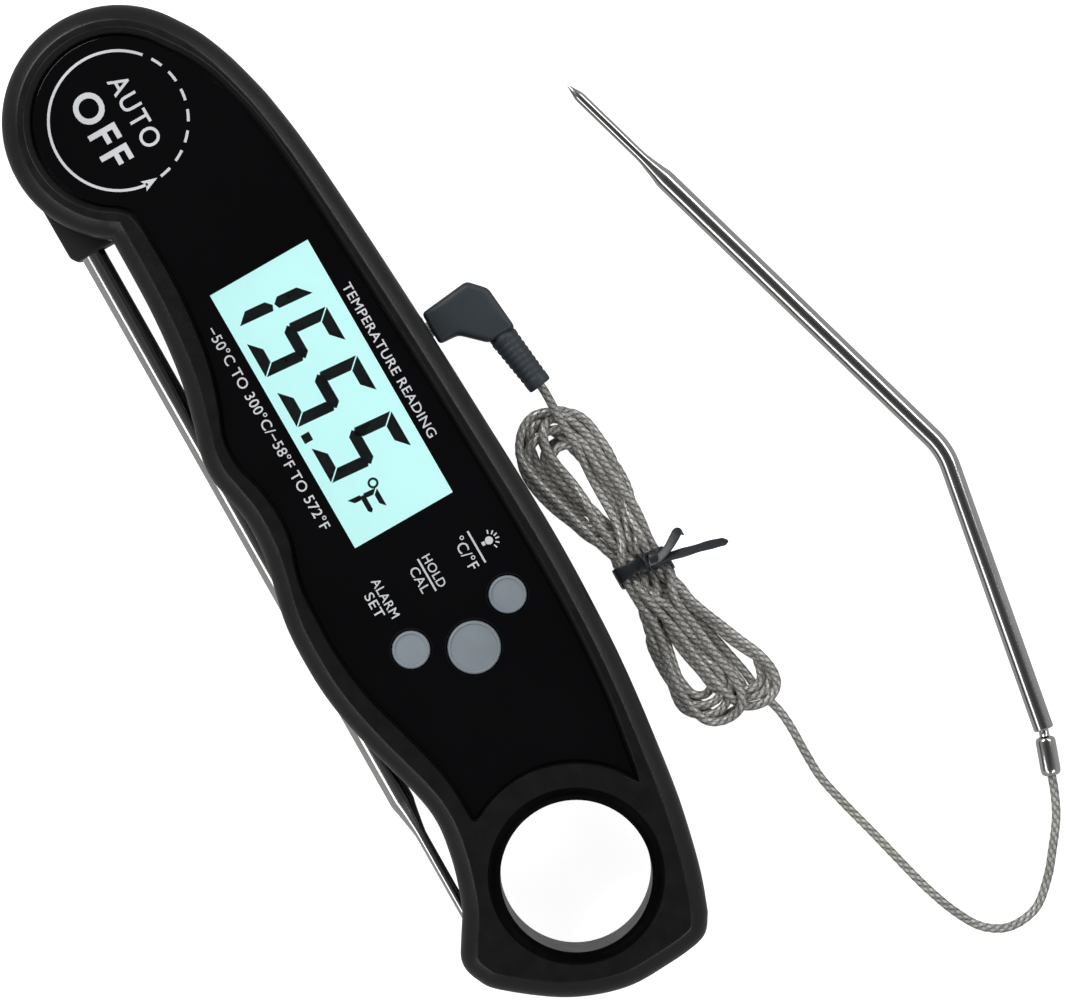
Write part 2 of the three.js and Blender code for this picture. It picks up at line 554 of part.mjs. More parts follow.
// ---- Wired probe --------------------------------------------------------------------------------

// The bent probe's centre line: two straight legs joined by an arc. Returns the point and direction at
// a given distance from the tip.
function wiredProbePath() {
  const { tip, bend, end, bendRadius } = WIRED_PROBE;
  const a = new THREE.Vector2(...tip);
  const b = new THREE.Vector2(...bend);
  const c = new THREE.Vector2(...end);
  const inDirection = b.clone().sub(a).normalize();
  const outDirection = c.clone().sub(b).normalize();
  const startAngle = inDirection.angle();
  const turn = THREE.MathUtils.euclideanModulo(startAngle - outDirection.angle(), 2 * Math.PI);
  const setback = bendRadius * Math.tan(turn / 2);
  const firstLength = a.distanceTo(b) - setback;
  const arcLength = bendRadius * turn;
  const total = firstLength + arcLength + b.distanceTo(c) - setback;
  const arcStart = a.clone().addScaledVector(inDirection, firstLength);
  const inwards = new THREE.Vector2(inDirection.y, -inDirection.x);
  const centre = arcStart.clone().addScaledVector(inwards, bendRadius);
  function at(distance) {
    if (distance <= firstLength) {
      return { point: a.clone().addScaledVector(inDirection, distance), angle: startAngle };
    }
    if (distance >= firstLength + arcLength) {
      const point = c.clone().addScaledVector(outDirection, distance - total);
      return { point, angle: startAngle - turn };
    }
    const angle = startAngle - (distance - firstLength) / bendRadius;
    const out = new THREE.Vector2(-Math.sin(angle), Math.cos(angle)).multiplyScalar(bendRadius);
    return { point: centre.clone().add(out), angle };
  }
  return { at, total, firstLength, arcLength };
}

// Bends a spindle, whose length runs along +X from the tip, onto the probe's centre line.
function bendOntoPath(geometry, path, height) {
  const position = geometry.attributes.position;
  for (let i = 0; i < position.count; i += 1) {
    const { point, angle } = path.at(position.getX(i));
    const side = position.getY(i);
    const up = position.getZ(i);
    position.setXYZ(i, point.x - Math.sin(angle) * side, point.y + Math.cos(angle) * side, height + up);
  }
  return geometry;
}

function makeWiredTube(path) {
  const { radius, thinLength, taperEnd, tipRadius, wall } = WIRED_PROBE;
  const arcSteps = 6;
  const arcStep = path.arcLength / arcSteps;
  const arc = Array.from({ length: arcSteps + 1 }, (_, i) => path.firstLength + arcStep * i);
  const inner = radius - wall;
  const profile = [
    [0, 0], [0.5, tipRadius * 0.45], [2.0, tipRadius], [thinLength, tipRadius], [taperEnd, radius],
    ...arc.map((s) => [s, radius]), [path.total, radius], [path.total, inner],
    ...[...arc].reverse().map((s) => [s, inner]), [taperEnd, inner], [thinLength, tipRadius - wall],
    [2.2, tipRadius - wall], [2.2, 0],
  ];
  return solid(bendOntoPath(spindle(profile, 12), path, radius));
}

// ---- Plug and cord ------------------------------------------------------------------------------

function makePlugBody() {
  const outline = PLUG_OUTLINE.map(([x, y]) => new THREE.Vector2(x, y));
  const half = PLUG_HEIGHT / 2;
  return chamferedSlab(outline, [JACK.z - half, JACK.z + half], PLUG_CHAMFER, 2);
}

function makePlugRelief() {
  const { start, turn, length, radius } = RELIEF;
  const cone = spindle([[0, 0], [0, radius[0]], [length, radius[1]], [length, 0]], 16);
  cone.rotateZ(THREE.MathUtils.degToRad(turn));
  cone.translate(start[0], start[1], JACK.z);
  return solid(cone);
}

function makePlugPin(group) {
  const { radius, sleeve, insulator, step, tipY } = PLUG_PIN;
  group.add(piece('plug_sleeve', sideDrum(JACK.x, JACK.z, radius, sleeve), STEEL));
  group.add(piece('plug_insulator', sideDrum(JACK.x, JACK.z, radius - step, insulator), RUBBER));
  const tip = spindle([
    [0, 0], [0, radius], [0.6, radius - 0.35], [1.1, radius], [2.1, radius], [3.0, 0.3], [3.0, 0],
  ]);
  tip.rotateZ(-Math.PI / 2);
  tip.translate(JACK.x, tipY, JACK.z);
  group.add(piece('plug_tip', solid(tip), STEEL));
}

function makeHank() {
  const outline = splinePoints([...HANK_OUTLINE, HANK_OUTLINE[0]], 48).slice(0, -1);
  const tieX = [TIE_X[0] - 2 * FIT, TIE_X[1] + 2 * FIT];
  return slab(outline, [0, HANK_TOP]).subtract(box(tieX, [20, 50], [-PAST, TIE_SPACE]));
}

// A flat tie round the hank's waist, with a twisted knot on top and two tails, one of them short.
function makeTwistTie() {
  const { around, band, knot, tails, tailRadius } = TIE;
  const outer = box(TIE_X, [around[0] - band, around[1] + band], [0, HANK_TOP + FIT + band]);
  const past = [TIE_X[0] - PAST, TIE_X[1] + PAST];
  let tie = outer.subtract(box(past, around, [TIE_SPACE - FIT, HANK_TOP + FIT]));
  tie = tie.add(drum(...knot.centre, knot.radius, knot.z, 10));
  for (const tail of tails) {
    tie = tie.add(tubeAlong(tail, tailRadius, 6));
  }
  return tie;
}

function makeFerrule() {
  const [x0, y0] = FERRULE.start;
  const [x1, y1] = FERRULE.end;
  const length = Math.hypot(x1 - x0, y1 - y0);
  const r = FERRULE.radius;
  const neckEnd = length + FERRULE.neck;
  const body = spindle([
    [FIT, 0], [FIT, r * 0.72], [1.2, r], [length - 1.4, r], [length - 0.7, r * 0.48], [neckEnd, r * 0.48],
    [neckEnd, 0],
  ]);
  body.rotateZ(Math.atan2(y1 - y0, x1 - x0));
  body.translate(x0, y0, r);
  return solid(body);
}

// ---- Assembly -----------------------------------------------------------------------------------

function makeCase() {
  const group = new THREE.Group();
  group.add(piece('front_shell', makeFrontShell(), CASE_BLACK));
  group.add(piece('back_shell', makeBackShell(), CASE_BLACK));
  group.add(piece('front_panel', makeFrontPanel(), PANEL_BLACK));
  SCREWS.forEach((place, i) => group.add(piece(`case_screw_${i + 1}`, makeScrew(place), STEEL)));
  makeDisplay(group);
  group.add(piece('circuit_board', makeBoard(), BOARD_GREEN));
  const chip = box(CHIP.x, CHIP.y, [BOARD.z[1] + FIT, CHIP.top]);
  group.add(piece('controller_chip', chip, CHIP_BLACK));
  const buzzer = drum(BUZZER.x, BUZZER.y, BUZZER.radius, [BUZZER.bottom, BOARD.z[0] - FIT], 20);
  group.add(piece('buzzer', buzzer, CHIP_BLACK));
  group.add(piece('jack_socket', makeJackSocket(), CHIP_BLACK));
  group.add(piece('jack_collar', makeJackCollar(), STEEL));
  group.add(piece('reed_switch', box(REED_SWITCH.x, REED_SWITCH.y, REED_SWITCH.z), CHIP_BLACK));
  for (const button of BUTTONS) {
    group.add(piece(`switch_${button.name}`, makeSwitch(button), CHIP_BLACK));
    group.add(piece(`button_${button.name}`, makeButton(button), BUTTON_GREY));
  }
  return group;
}

function makeBattery() {
  const { x, y, radius, z } = BATTERY;
  const group = new THREE.Group();
  group.add(piece('battery_cell', drum(x, y, radius, z, 32), STEEL));
  group.add(piece('battery_clip_positive', makePositiveClip(), BRASS));
  const leafZ = [z[1] + FIT, BOARD.z[0] - FIT];
  const leaf = box([x - BATTERY_LEAF.x, x + BATTERY_LEAF.x], [y - BATTERY_LEAF.y, y + BATTERY_LEAF.y], leafZ);
  group.add(piece('battery_spring_negative', leaf, BRASS));
  group.add(piece('battery_cover', makeBatteryCover(), CASE_BLACK));
  return group;
}

function makePivot() {
  const group = new THREE.Group();
  group.add(piece('pivot_post', washer(0, 0, POST.inner, POST.outer, POST.z, 24), STEEL));
  const friction = washer(0, 0, FRICTION_WASHER.inner, FRICTION_WASHER.outer, FRICTION_WASHER.z, 24);
  group.add(piece('friction_washer', friction, STEEL));
  const retainer = washer(0, 0, POST.outer + FIT, RETAINING_RING.outer, RETAINING_RING.z, 24);
  group.add(piece('retaining_ring', retainer, STEEL));
  return group;
}

function makeFoldingProbe() {
  const group = new THREE.Group();
  group.add(piece('probe_hub', makeHub(), HUB_BLACK));
  group.add(piece('hub_seal', washer(0, 0, POST.outer + FIT, SEAL.outer, SEAL.z, 24), RUBBER));
  const { x, y, radius, z } = MAGNET;
  group.add(piece('hub_magnet', drum(x, y, radius, z, 16), STEEL));
  const lean = THREE.MathUtils.degToRad(PROBE_LEAN);
  const leaning = new THREE.Group();
  leaning.position.set(PROBE_TUBE.start, PROBE_Y, PROBE_Z);
  leaning.rotation.z = lean;
  const tube = makeProbeTube();
  tube.translate(-PROBE_TUBE.start, 0, 0);
  const tubePiece = new THREE.Mesh(geometryOf(solid(tube)), STEEL);
  tubePiece.name = 'probe_tube';
  leaning.add(tubePiece);
  const { end, thin } = PROBE_TUBE;
  const sensor = spindle([[thin + 4, 0], [thin + 4, 0.2], [end - 3, 0.2], [end - 3, 0]], 8);
  sensor.translate(-PROBE_TUBE.start, 0, 0);
  leaning.add(piece('probe_sensor', solid(sensor), BRASS));
  group.add(leaning);
  return group;
}

function makeWiredProbe() {
  const group = new THREE.Group();
  const path = wiredProbePath();
  group.add(piece('wired_probe_tube', makeWiredTube(path), STEEL));
  const sensor = spindle([[3, 0], [3, 0.2], [14, 0.2], [14, 0]], 8);
  group.add(piece('wired_probe_sensor', solid(bendOntoPath(sensor, path, WIRED_PROBE.radius)), BRASS));
  group.add(piece('cable_ferrule', makeFerrule(), STEEL));
  group.add(piece('cord_run', tubeAlong(CORD_RUN_ROUTE, CORD_DIAMETER / 2, 34), BRAID));
  group.add(piece('cord_hank', makeHank(), BRAID));
  group.add(piece('twist_tie', makeTwistTie(), TIE_BLACK));
  group.add(piece('cord_start', tubeAlong(CORD_START_ROUTE, CORD_DIAMETER / 2, 3), BRAID));
  group.add(piece('plug_relief', makePlugRelief(), CORD_SLATE));
  group.add(piece('plug_body', makePlugBody(), CORD_SLATE));
  makePlugPin(group);
  return group;
}

const thermometer = new THREE.Group();
thermometer.add(makeCase(), makeBattery(), makePivot(), makeFoldingProbe(), makeWiredProbe());

export default thermometer;
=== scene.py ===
"""The looks of a folding meat thermometer and its wired probe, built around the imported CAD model.

Lengths are millimetres in the CAD frame until put() makes a Blender object, which is in metres. The
origin is on the axis of the folding probe, +X runs towards the hanging ring, +Y towards the side with
the jack, and +Z comes out of the display.
"""

import math

import bmesh
import bpy
import numpy as np
from mathutils import Matrix, Vector
from mathutils.geometry import tessellate_polygon


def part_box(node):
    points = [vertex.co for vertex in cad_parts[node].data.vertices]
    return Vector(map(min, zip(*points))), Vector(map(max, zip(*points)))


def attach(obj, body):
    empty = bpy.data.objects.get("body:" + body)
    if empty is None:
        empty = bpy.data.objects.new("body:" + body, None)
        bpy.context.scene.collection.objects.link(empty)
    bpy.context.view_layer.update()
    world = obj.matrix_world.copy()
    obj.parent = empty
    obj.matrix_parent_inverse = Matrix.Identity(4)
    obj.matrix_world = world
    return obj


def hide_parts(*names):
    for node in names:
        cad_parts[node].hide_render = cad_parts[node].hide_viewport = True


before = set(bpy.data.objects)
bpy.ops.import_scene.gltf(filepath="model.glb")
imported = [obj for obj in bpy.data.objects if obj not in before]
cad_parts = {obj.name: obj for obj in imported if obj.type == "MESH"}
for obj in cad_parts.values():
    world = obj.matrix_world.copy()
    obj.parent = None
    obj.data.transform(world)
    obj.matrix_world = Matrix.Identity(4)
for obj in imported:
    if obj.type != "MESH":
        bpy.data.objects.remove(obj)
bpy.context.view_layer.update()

MM = 0.001
FIT = 0.3  # clearance between pieces that meet
WELD = 0.004  # points closer than this are one


def low(node):
    """A CAD node's lowest corner, in millimetres."""
    return np.array(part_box(node)[0]) / MM


def high(node):
    """A CAD node's highest corner, in millimetres."""
    return np.array(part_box(node)[1]) / MM


def middle(node):
    """The middle of a CAD node's box, in millimetres."""
    return (low(node) + high(node)) / 2


# ---- Sizes and places, from the frame where it gives them ----------------------------------------

CASE_TOP = high("front_shell")[2]
CASE_SPLIT = low("front_shell")[2]
BACK_TOP = high("back_shell")[2]
PANEL_TOP = high("front_panel")[2]
PANEL_BOTTOM = low("front_panel")[2]
DECK_TOP = PANEL_BOTTOM - FIT
DECK_BOTTOM = 13.9
FLOOR_TOP = 2.0
LCD_TOP = high("lcd_glass")[2]

HEAD_RADIUS = -low("front_shell")[0]
HEAD_ARC = (-33.6, 125 - 360)
HEAD_WELL_RADIUS = 12.5
RING_CENTRE = (132.4, 3.2)
RING_HOLE_RADIUS = 11.4
RING_LIP_RADIUS = 13.2
RING_SIDES = 96

UPPER_EDGE = [
    (-5.9, 17.2), (-0.9, 19.25), (4.2, 20.7), (9.2, 21.75), (19.3, 23.0), (39.6, 24.3), (59.8, 25.2),
    (85, 26.0), (100.2, 25.7), (110.3, 25.0), (120.4, 23.8), (130.5, 22.3), (140.7, 19.9), (147.2, 17.6),
]
RING_EDGE = [
    (147.2, 17.6), (150.2, 14.9), (151.1, 7.8), (150.8, 0.7), (147.7, -7.4), (141.7, -15.5),
    (138.6, -17.7), (135.4, -18.7),
]
GRIP_EDGE = [
    (135.4, -18.7), (131.6, -16.3), (128.5, -14.4), (124.5, -12.9), (120.4, -11.8), (115.4, -11.1),
    (110.3, -11.7), (100.2, -14.4), (92, -16.0), (85, -16.4), (78, -16.0), (70.9, -14.4), (66.8, -13.6),
    (61.8, -13.4), (57.7, -14.0), (53.7, -14.7), (49.7, -14.4), (44.6, -12.9), (37.5, -11.2),
    (27.4, -10.1),
]
BACK_CORNER_EDGE = [(135.0, -18.2), (131.4, -15.9), (128.3, -14.0), (124.3, -12.2), (119, -10.2)]
BACK_EDGE_Y = -9.6
BACK_INSET = 0.4
BACK_ROUNDING = 1.5
CAP_TOP = 3.6  # the back shell's top under the turning hub
GROOVES_X = (34, 37.2, 40.4, 43.6, 46.8, 50.0)

PANEL_HEAD_RADIUS = 12.8
PANEL_HEAD_ARC = (-39, 130 - 360)
PANEL_RING_RADIUS = 17.3
PANEL_RING_ARC = (119.5, 211.4)
PANEL_UPPER_EDGE = [
    (-3, 13.4), (1, 15.3), (5, 16.5), (10, 17.7), (20, 18.9), (40, 20.0), (60, 20.9), (85, 21.4),
    (100, 21.2), (112, 20.2),
]
PANEL_LOWER_EDGE = [
    (113, -5.9), (109, -6.3), (103, -7.7), (95, -9.9), (90, -10.8), (85, -11.2), (80, -11.1),
    (75, -10.8), (71.5, -10.0), (67.5, -8.7), (63.5, -8.3), (59, -8.7), (55, -9.7), (52, -10.0),
    (49, -9.6), (45, -8.0), (40, -6.4), (35, -5.4), (28, -4.6), (20, -4.4), (13, -4.9),
]
CAVITY_X = (20.4, 112.8)
CAVITY_Y_MIN = -7.6
CAVITY_EDGE = 2.4

# The rim's section: how far in from the outline, and how far below the case's top.
CORNER_REACH = 2.2  # the case's lower corner is rounded over this length of each side
PANEL_CORNER_REACH = 1.2
SLOPE_BLEND = 21  # points over which the slope changes width
RIM_PROFILE = [
    (0, 4.3), (0.03, 3.4), (0.14, 2.7), (0.38, 2.05), (0.75, 1.45), (1.2, 0.98), (1.7, 0.58), (2.2, 0.24),
    (2.45, 0.09), (2.6, 0.02), (2.74, 0), (2.8, 0),
]
PANEL_SLOPE = [
    (1.44, 0), (1.38, 0), (1.26, 0.03), (1.12, 0.15), (0.5, 0.95), (0.36, 1.15), (0.3, 1.4),
]
WINDOW_LOW = low("display_window")
WINDOW_HIGH = high("display_window")
BUTTON_NAMES = ("light_unit", "hold_cal", "alarm_set")
SCREW_NODES = [f"case_screw_{i + 1}" for i in range(6)]
SCREW_HOLE_RADIUS = 1.4
SCREW_WELL_RADIUS = 2.4
COVER_RADIUS = 11.3
COVER_RIM = 1.6  # how thick the battery cover's upstanding rim is
LUG_RADIUS = 12.6
LUG_WIDTH = 26  # degrees
COVER_TURN = 40  # degrees

HUB_RADIUS = 17.2
BOSS_X = 14.55  # the boss's end, where the folding probe leaves it
BOSS_Y = -17.0
BOSS_CORNER = 1.4
PIVOT_RADIUS = 4.5
SEAL_SEAT = (6.6, 7.3)  # its radius, and the height it starts at
MAGNET_SEAT = (2.3, 6.4)
PROBE_BORE = 2.0  # radius
HEAD_SEAT_RADIUS = 17.9  # room for the hub to turn between the shells
PROBE_START = 7.5
PROBE_END = 135.4
PROBE_Y = -13.72
PROBE_Z = middle("probe_hub")[2]
PROBE_LEAN = math.radians(-0.42)
PROBE_RADIUS = 1.88
PROBE_TIP_RADIUS = 0.86
JACK_X = 49.95
JACK_Z = middle("plug_sleeve")[2]
PLUG_OUTLINE = [
    (52.6, 25.1), (52.85, 28.3), (56.2, 31.8), (56.2, 36.4), (49.0, 35.8), (46.4, 33.4), (47.3, 25.1),
]
PLUG_HALF_HEIGHT = 2.65
RELIEF_LENGTH = 9.4
RELIEF_RIBS = 8
RELIEF_START = (56.5, 34.1)
RELIEF_TURN = math.radians(7.5)
FERRULE_START = (156.9, 73.45)
FERRULE_END = (150.9, 75.6)
NECK = 1.3  # how far the ferrule's neck reaches past its end, into the tube
WIRED_TIP = (27.7, 61.9)
WIRED_BEND = (105.15, 84.2)
WIRED_END = (149.9, 76.05)
WIRED_RADIUS = 1.55
WIRED_TIP_RADIUS = 0.82
WIRED_BEND_RADIUS = 12

PRINT_THICKNESS = 0.03
SEGMENT_LEAN = math.tan(math.radians(5))
SEGMENT_GAP = 0.13

# The cord, from the probe's ferrule back through its hank to the plug.
CORD_DIAMETER = 1.4
CORD_START = [(65.4, 35.29, 5.4), (66.0, 35.37, 5.4), (68.0, 35.5, 5.3), (71.5, 35.3, 5.3)]
CORD_RUN = [
    (126.6, 42.4, 0.7), (128.6, 42.55, 0.7), (131.2, 42.6, 0.7), (135.2, 42.55, 0.7), (139.2, 42.7, 0.7),
    (144.8, 43.9, 0.7), (150.5, 45.4, 0.7), (156.2, 46.8, 0.7), (161.9, 48.3, 0.7), (167.6, 50.4, 0.7),
    (171.5, 52.8, 0.7), (173.6, 56.3, 0.7), (173.2, 61.2, 0.7), (169.9, 65.3, 0.8), (166.5, 68.1, 0.9),
    (162.5, 71.0, 1.2), (159.2, 72.6, 1.45), (157.2, 73.35, 1.55),
    (156.2, 73.7, 1.55),
]
WAIST = (98, 35)  # where the tie holds the hank
WAIST_HALF = 3.2
HANK_Z = (0.9, 4.9)  # the lowest and highest strands before they settle
# Each fold of the hank: where it ends in X, its middle in Y, and half its width.
RIGHT_FOLDS = [
    (124.6, 34.9, 3.8), (125.3, 41.0, 3.7), (123.0, 34.2, 3.8), (121.2, 34.0, 3.6), (124.0, 40.6, 3.6),
    (119.6, 34.4, 3.6), (122.6, 40.4, 3.6), (124.0, 35.0, 3.7),
]
LEFT_FOLDS = [
    (69.5, 32.4, 5.2), (70.3, 34.8, 3.7), (71.7, 31.5, 4.0), (70.0, 33.4, 4.8), (75.0, 33.4, 3.0),
    (70.9, 31.2, 3.8), (70.2, 34.4, 3.9), (74.0, 33.0, 3.0),
]
LANES = (0, 4, 1, 3, 2)  # the order in which strands take the lanes through the waist
LANE_STEP = 1.3
BRAID_PITCH = 1.35
BRAID_STARTS = 4
CORD_SIDES = 14
CORD_RING = 0.42
BRAID_HEIGHT = 0.05  # share of the radius
SETTLE_SPACING = 1.0
SETTLE_STEPS = 400
SETTLE_FALL = 0.012
SETTLE_HOME = 0.012  # how hard each point is drawn back over its place in the route
SETTLE_SLACK = 0.05
SETTLE_STIFF = 0.38
TIE_HALF_WIDTH = 1.6
TIE_Z = (1.5, 5.2)  # what the tie leaves for the strands' centres

CAMERA_AIM = (80.6, 26.1)
CAMERA_LENS = 150
CAMERA_SENSOR = 36
CAMERA_TURN = math.radians(60.1)
VIEW_WIDTH = 160.95  # what the camera takes in at the panel's level
FLOOR_Z = -0.05
SOFTBOX_DISTANCE = 0.9  # metres


# ---- Lines and outlines --------------------------------------------------------------------------

def unit(vectors):
    """The same directions with a length of one."""
    return vectors / np.maximum(np.linalg.norm(vectors, axis=-1, keepdims=True), 1e-12)


def reach_along(line):
    """How far along a line each of its points is."""
    return np.concatenate([[0], np.cumsum(np.linalg.norm(np.diff(line, axis=0), axis=1))])


def evenly(line, steps):
    """Points evenly spaced along a line, one more than the steps."""
    reach = reach_along(line)
    at = np.linspace(0, reach[-1], steps + 1)
    return np.column_stack([np.interp(at, reach, column) for column in line.T])


def spline(points, steps):
    """Evenly spaced points on a Catmull-Rom curve through the given ones."""
    knots = np.asarray(points, float)
    ends = np.vstack([knots[:1], knots, knots[-1:]])
    t = np.linspace(0, 1, 16, endpoint=False)[:, None]
    fine = [
        0.5 * (2 * b + (c - a) * t + (2 * a - 5 * b + 4 * c - d) * t**2 + (3 * b - a - 3 * c + d) * t**3)
        for a, b, c, d in zip(ends, ends[1:], ends[2:], ends[3:])
    ]
    return evenly(np.vstack([*fine, knots[-1:]]), steps)


def length_of(line):
    return float(np.linalg.norm(np.diff(line, axis=0), axis=1).sum())


def arc(centre, radius, start, end, steps):
    angle = np.radians(np.linspace(start, end, steps + 1))
    return np.column_stack([centre[0] + radius * np.cos(angle), centre[1] + radius * np.sin(angle)])


def circle(centre, radius, sides=48):
    return arc(centre, radius, 0, 360, sides)[:-1]


def distance_to(points, outline):
    """How far each point is from a closed outline."""
    a = outline
    side = np.roll(outline, -1, axis=0) - a
    away = points[:, None] - a[None]
    share = np.clip((away * side).sum(2) / np.maximum((side * side).sum(1), 1e-12), 0, 1)
    return np.linalg.norm(away - share[..., None] * side, axis=2).min(1)


def inset(outline, distance):
    """A closed clockwise outline moved inwards. Points that would cross over at a corner are spread
    between their neighbours, so that every loop has the same number of points."""
    if np.all(distance == 0):
        return outline.copy()
    arriving = unit(outline - np.roll(outline, 1, axis=0))
    leaving = unit(np.roll(outline, -1, axis=0) - outline)
    reach = distance / np.maximum(1 + (arriving * leaving).sum(1), 0.4)
    side = arriving + leaving
    moved = outline + np.column_stack([side[:, 1], -side[:, 0]]) * reach[:, None]
    good = distance_to(moved, outline) > np.abs(distance) - 0.02
    index = np.arange(len(outline))
    columns = [np.interp(index, index[good], column[good], period=len(outline)) for column in moved.T]
    return np.column_stack(columns)


def softened(outline, corner, reach):
    """An outline whose points near one sharp corner are moved onto a curve between its two sides."""
    near = np.flatnonzero(np.linalg.norm(outline - np.array(corner), axis=1) < reach)
    start, end = outline[near[0]], outline[near[-1]]
    t = np.linspace(0, 1, len(near))[:, None]
    result = outline.copy()
    result[near] = start * (1 - t) ** 2 + 2 * t * (1 - t) * np.array(corner) + end * t ** 2
    return result


def outline_before_grip():
    """The case outline from the head, along the jack side and round the ring to its lower corner."""
    head = arc((0, 0), HEAD_RADIUS, *HEAD_ARC, 110)
    upper = spline([tuple(head[-1]), *UPPER_EDGE], 110)
    return np.vstack([head, upper[1:], spline(RING_EDGE, 70)[1:]])


def case_outline():
    before = outline_before_grip()
    grip = spline([*GRIP_EDGE, (before[0][0] + 0.3, before[0][1])], 200)
    return softened(np.vstack([before, grip[1:-1]]), GRIP_EDGE[0], CORNER_REACH)


def back_outline():
    before = inset(outline_before_grip(), BACK_INSET)
    edge_start = np.array([[15.4, BACK_EDGE_Y]])
    straight = evenly(np.vstack([spline(BACK_CORNER_EDGE, 24)[-1:], edge_start]), 100)
    outline = np.vstack([before[1:-1], spline(BACK_CORNER_EDGE, 24), straight[1:]])
    return softened(outline, BACK_CORNER_EDGE[0], CORNER_REACH)


def panel_outline():
    head = arc((0, 0), PANEL_HEAD_RADIUS, *PANEL_HEAD_ARC, 90)
    ring = arc(RING_CENTRE, PANEL_RING_RADIUS, *PANEL_RING_ARC, 50)
    upper = spline([tuple(head[-1]), *PANEL_UPPER_EDGE, tuple(ring[0])], 100)
    lower = spline([tuple(ring[-1]), *PANEL_LOWER_EDGE, tuple(head[0])], 180)
    outline = np.vstack([head, upper[1:], ring[1:], lower[1:-1]])
    return softened(outline, ring[-1], PANEL_CORNER_REACH)


def slope_share(outline):
    """How wide the slope round the panel is at each point, as a share of its width at the head."""
    x, y = outline.T
    by_ring = np.linalg.norm(outline - np.array(RING_CENTRE), axis=1) < PANEL_RING_RADIUS + 0.3
    share = np.where(by_ring | ((x > 14) & (y < 0)), 0.2, np.interp(x, (5, 20), (1, 0.6)))
    window = np.ones(SLOPE_BLEND) / SLOPE_BLEND
    wrapped = np.concatenate([share[-SLOPE_BLEND:], share, share[:SLOPE_BLEND]])
    return np.convolve(wrapped, window, "same")[SLOPE_BLEND:-SLOPE_BLEND]


def cavity_outline():
    upper = spline(UPPER_EDGE, 80)
    roof = upper[(upper[:, 0] > CAVITY_X[0]) & (upper[:, 0] < CAVITY_X[1])] - (0, CAVITY_EDGE)
    start = [(CAVITY_X[0], CAVITY_Y_MIN), (CAVITY_X[0], roof[0][1])]
    end = [(CAVITY_X[1], roof[-1][1]), (CAVITY_X[1], CAVITY_Y_MIN)]
    return np.vstack([start, roof, end])


def rectangle(x, y):
    return np.array([(x[0], y[0]), (x[0], y[1]), (x[1], y[1]), (x[1], y[0])], float)


def box_outline(lowest, highest, margin=0.0):
    """A box seen from above, widened by a margin."""
    near, far = lowest - margin, highest + margin
    return rectangle((near[0], far[0]), (near[1], far[1]))


def rounded_rectangle(x, y, radius, steps=5):
    corners = [
        ((x[0] + radius, y[0] + radius), 270), ((x[0] + radius, y[1] - radius), 180),
        ((x[1] - radius, y[1] - radius), 90), ((x[1] - radius, y[0] + radius), 0),
    ]
    return np.vstack([arc(place, radius, angle, angle - 90, steps) for place, angle in corners])


def round_corners(outline, radius, steps=4):
    """A closed outline with each sharp corner turned into a short curve."""
    rounded = []
    for before, corner, after in zip(np.roll(outline, 1, axis=0), outline, np.roll(outline, -1, axis=0)):
        enter = corner + unit(before - corner) * radius
        leave = corner + unit(after - corner) * radius
        t = np.linspace(0, 1, steps + 1)[:, None]
        rounded.append((1 - t) ** 2 * enter + 2 * t * (1 - t) * corner + t**2 * leave)
    return np.vstack(rounded)


# ---- Meshes --------------------------------------------------------------------------------------

class Shape:
    """A mesh in the making: points in millimetres, faces, and a texture place for each face corner."""

    def __init__(self):
        self.points = []
        self.faces = []
        self.corners = []

    def add(self, points):
        first = len(self.points)
        self.points += [tuple(float(c) for c in point) for point in points]
        return list(range(first, len(self.points)))

    def loop(self, outline, z):
        return self.add([(x, y, z) for x, y in outline])

    def face(self, indices, corners=None):
        self.faces.append(tuple(indices))
        self.corners.append(corners or [self.points[i][:2] for i in indices])

    def band(self, a, b):
        for i in range(len(a)):
            j = (i + 1) % len(a)
            self.face((a[i], a[j], b[j], b[i]))

    def wall(self, loops):
        for a, b in zip(loops, loops[1:]):
            self.band(a, b)

    def cap(self, *loops):
        """Fills the first loop, less the others, which are holes in it."""
        flat = [i for loop in loops for i in loop]
        for triangle in tessellate_polygon([[Vector(self.points[i]) for i in loop] for loop in loops]):
            self.face([flat[i] for i in triangle])


def shape_from(points, polygons):
    """A shape with another mesh's faces."""
    shape = Shape()
    shape.add(points)
    for polygon in polygons:
        shape.face(tuple(polygon.vertices))
    return shape


def put(name, shape, material, sharp=32):
    """Makes the Blender object. Edges that turn more than the sharp angle stay crisp."""
    mesh = bpy.data.meshes.new(name)
    mesh.from_pydata([Vector(point) * MM for point in shape.points], [], shape.faces)
    layer = mesh.uv_layers.new(name="along_and_around")
    layer.data.foreach_set("uv", [float(c) for face in shape.corners for corner in face for c in corner])
    obj = bpy.data.objects.new(name, mesh)
    bpy.context.scene.collection.objects.link(obj)
    obj.data.materials.append(material)
    shade(obj, sharp)
    return obj


def shade(obj, sharp):
    edit = bmesh.new()
    edit.from_mesh(obj.data)
    bmesh.ops.remove_doubles(edit, verts=edit.verts, dist=WELD * MM)
    bmesh.ops.dissolve_degenerate(edit, edges=edit.edges, dist=WELD * MM)
    bmesh.ops.recalc_face_normals(edit, faces=edit.faces)
    for face in edit.faces:
        face.smooth = True
    for edge in edit.edges:
        edge.smooth = len(edge.link_faces) == 2 and edge.calc_face_angle() < math.radians(sharp)
    edit.to_mesh(obj.data)
    edit.free()


def even_normals(obj):
    """Keeps flat faces flat where they meet rounded edges."""
    modifier = obj.modifiers.new("even_normals", "WEIGHTED_NORMAL")
    modifier.keep_sharp = True
    return obj


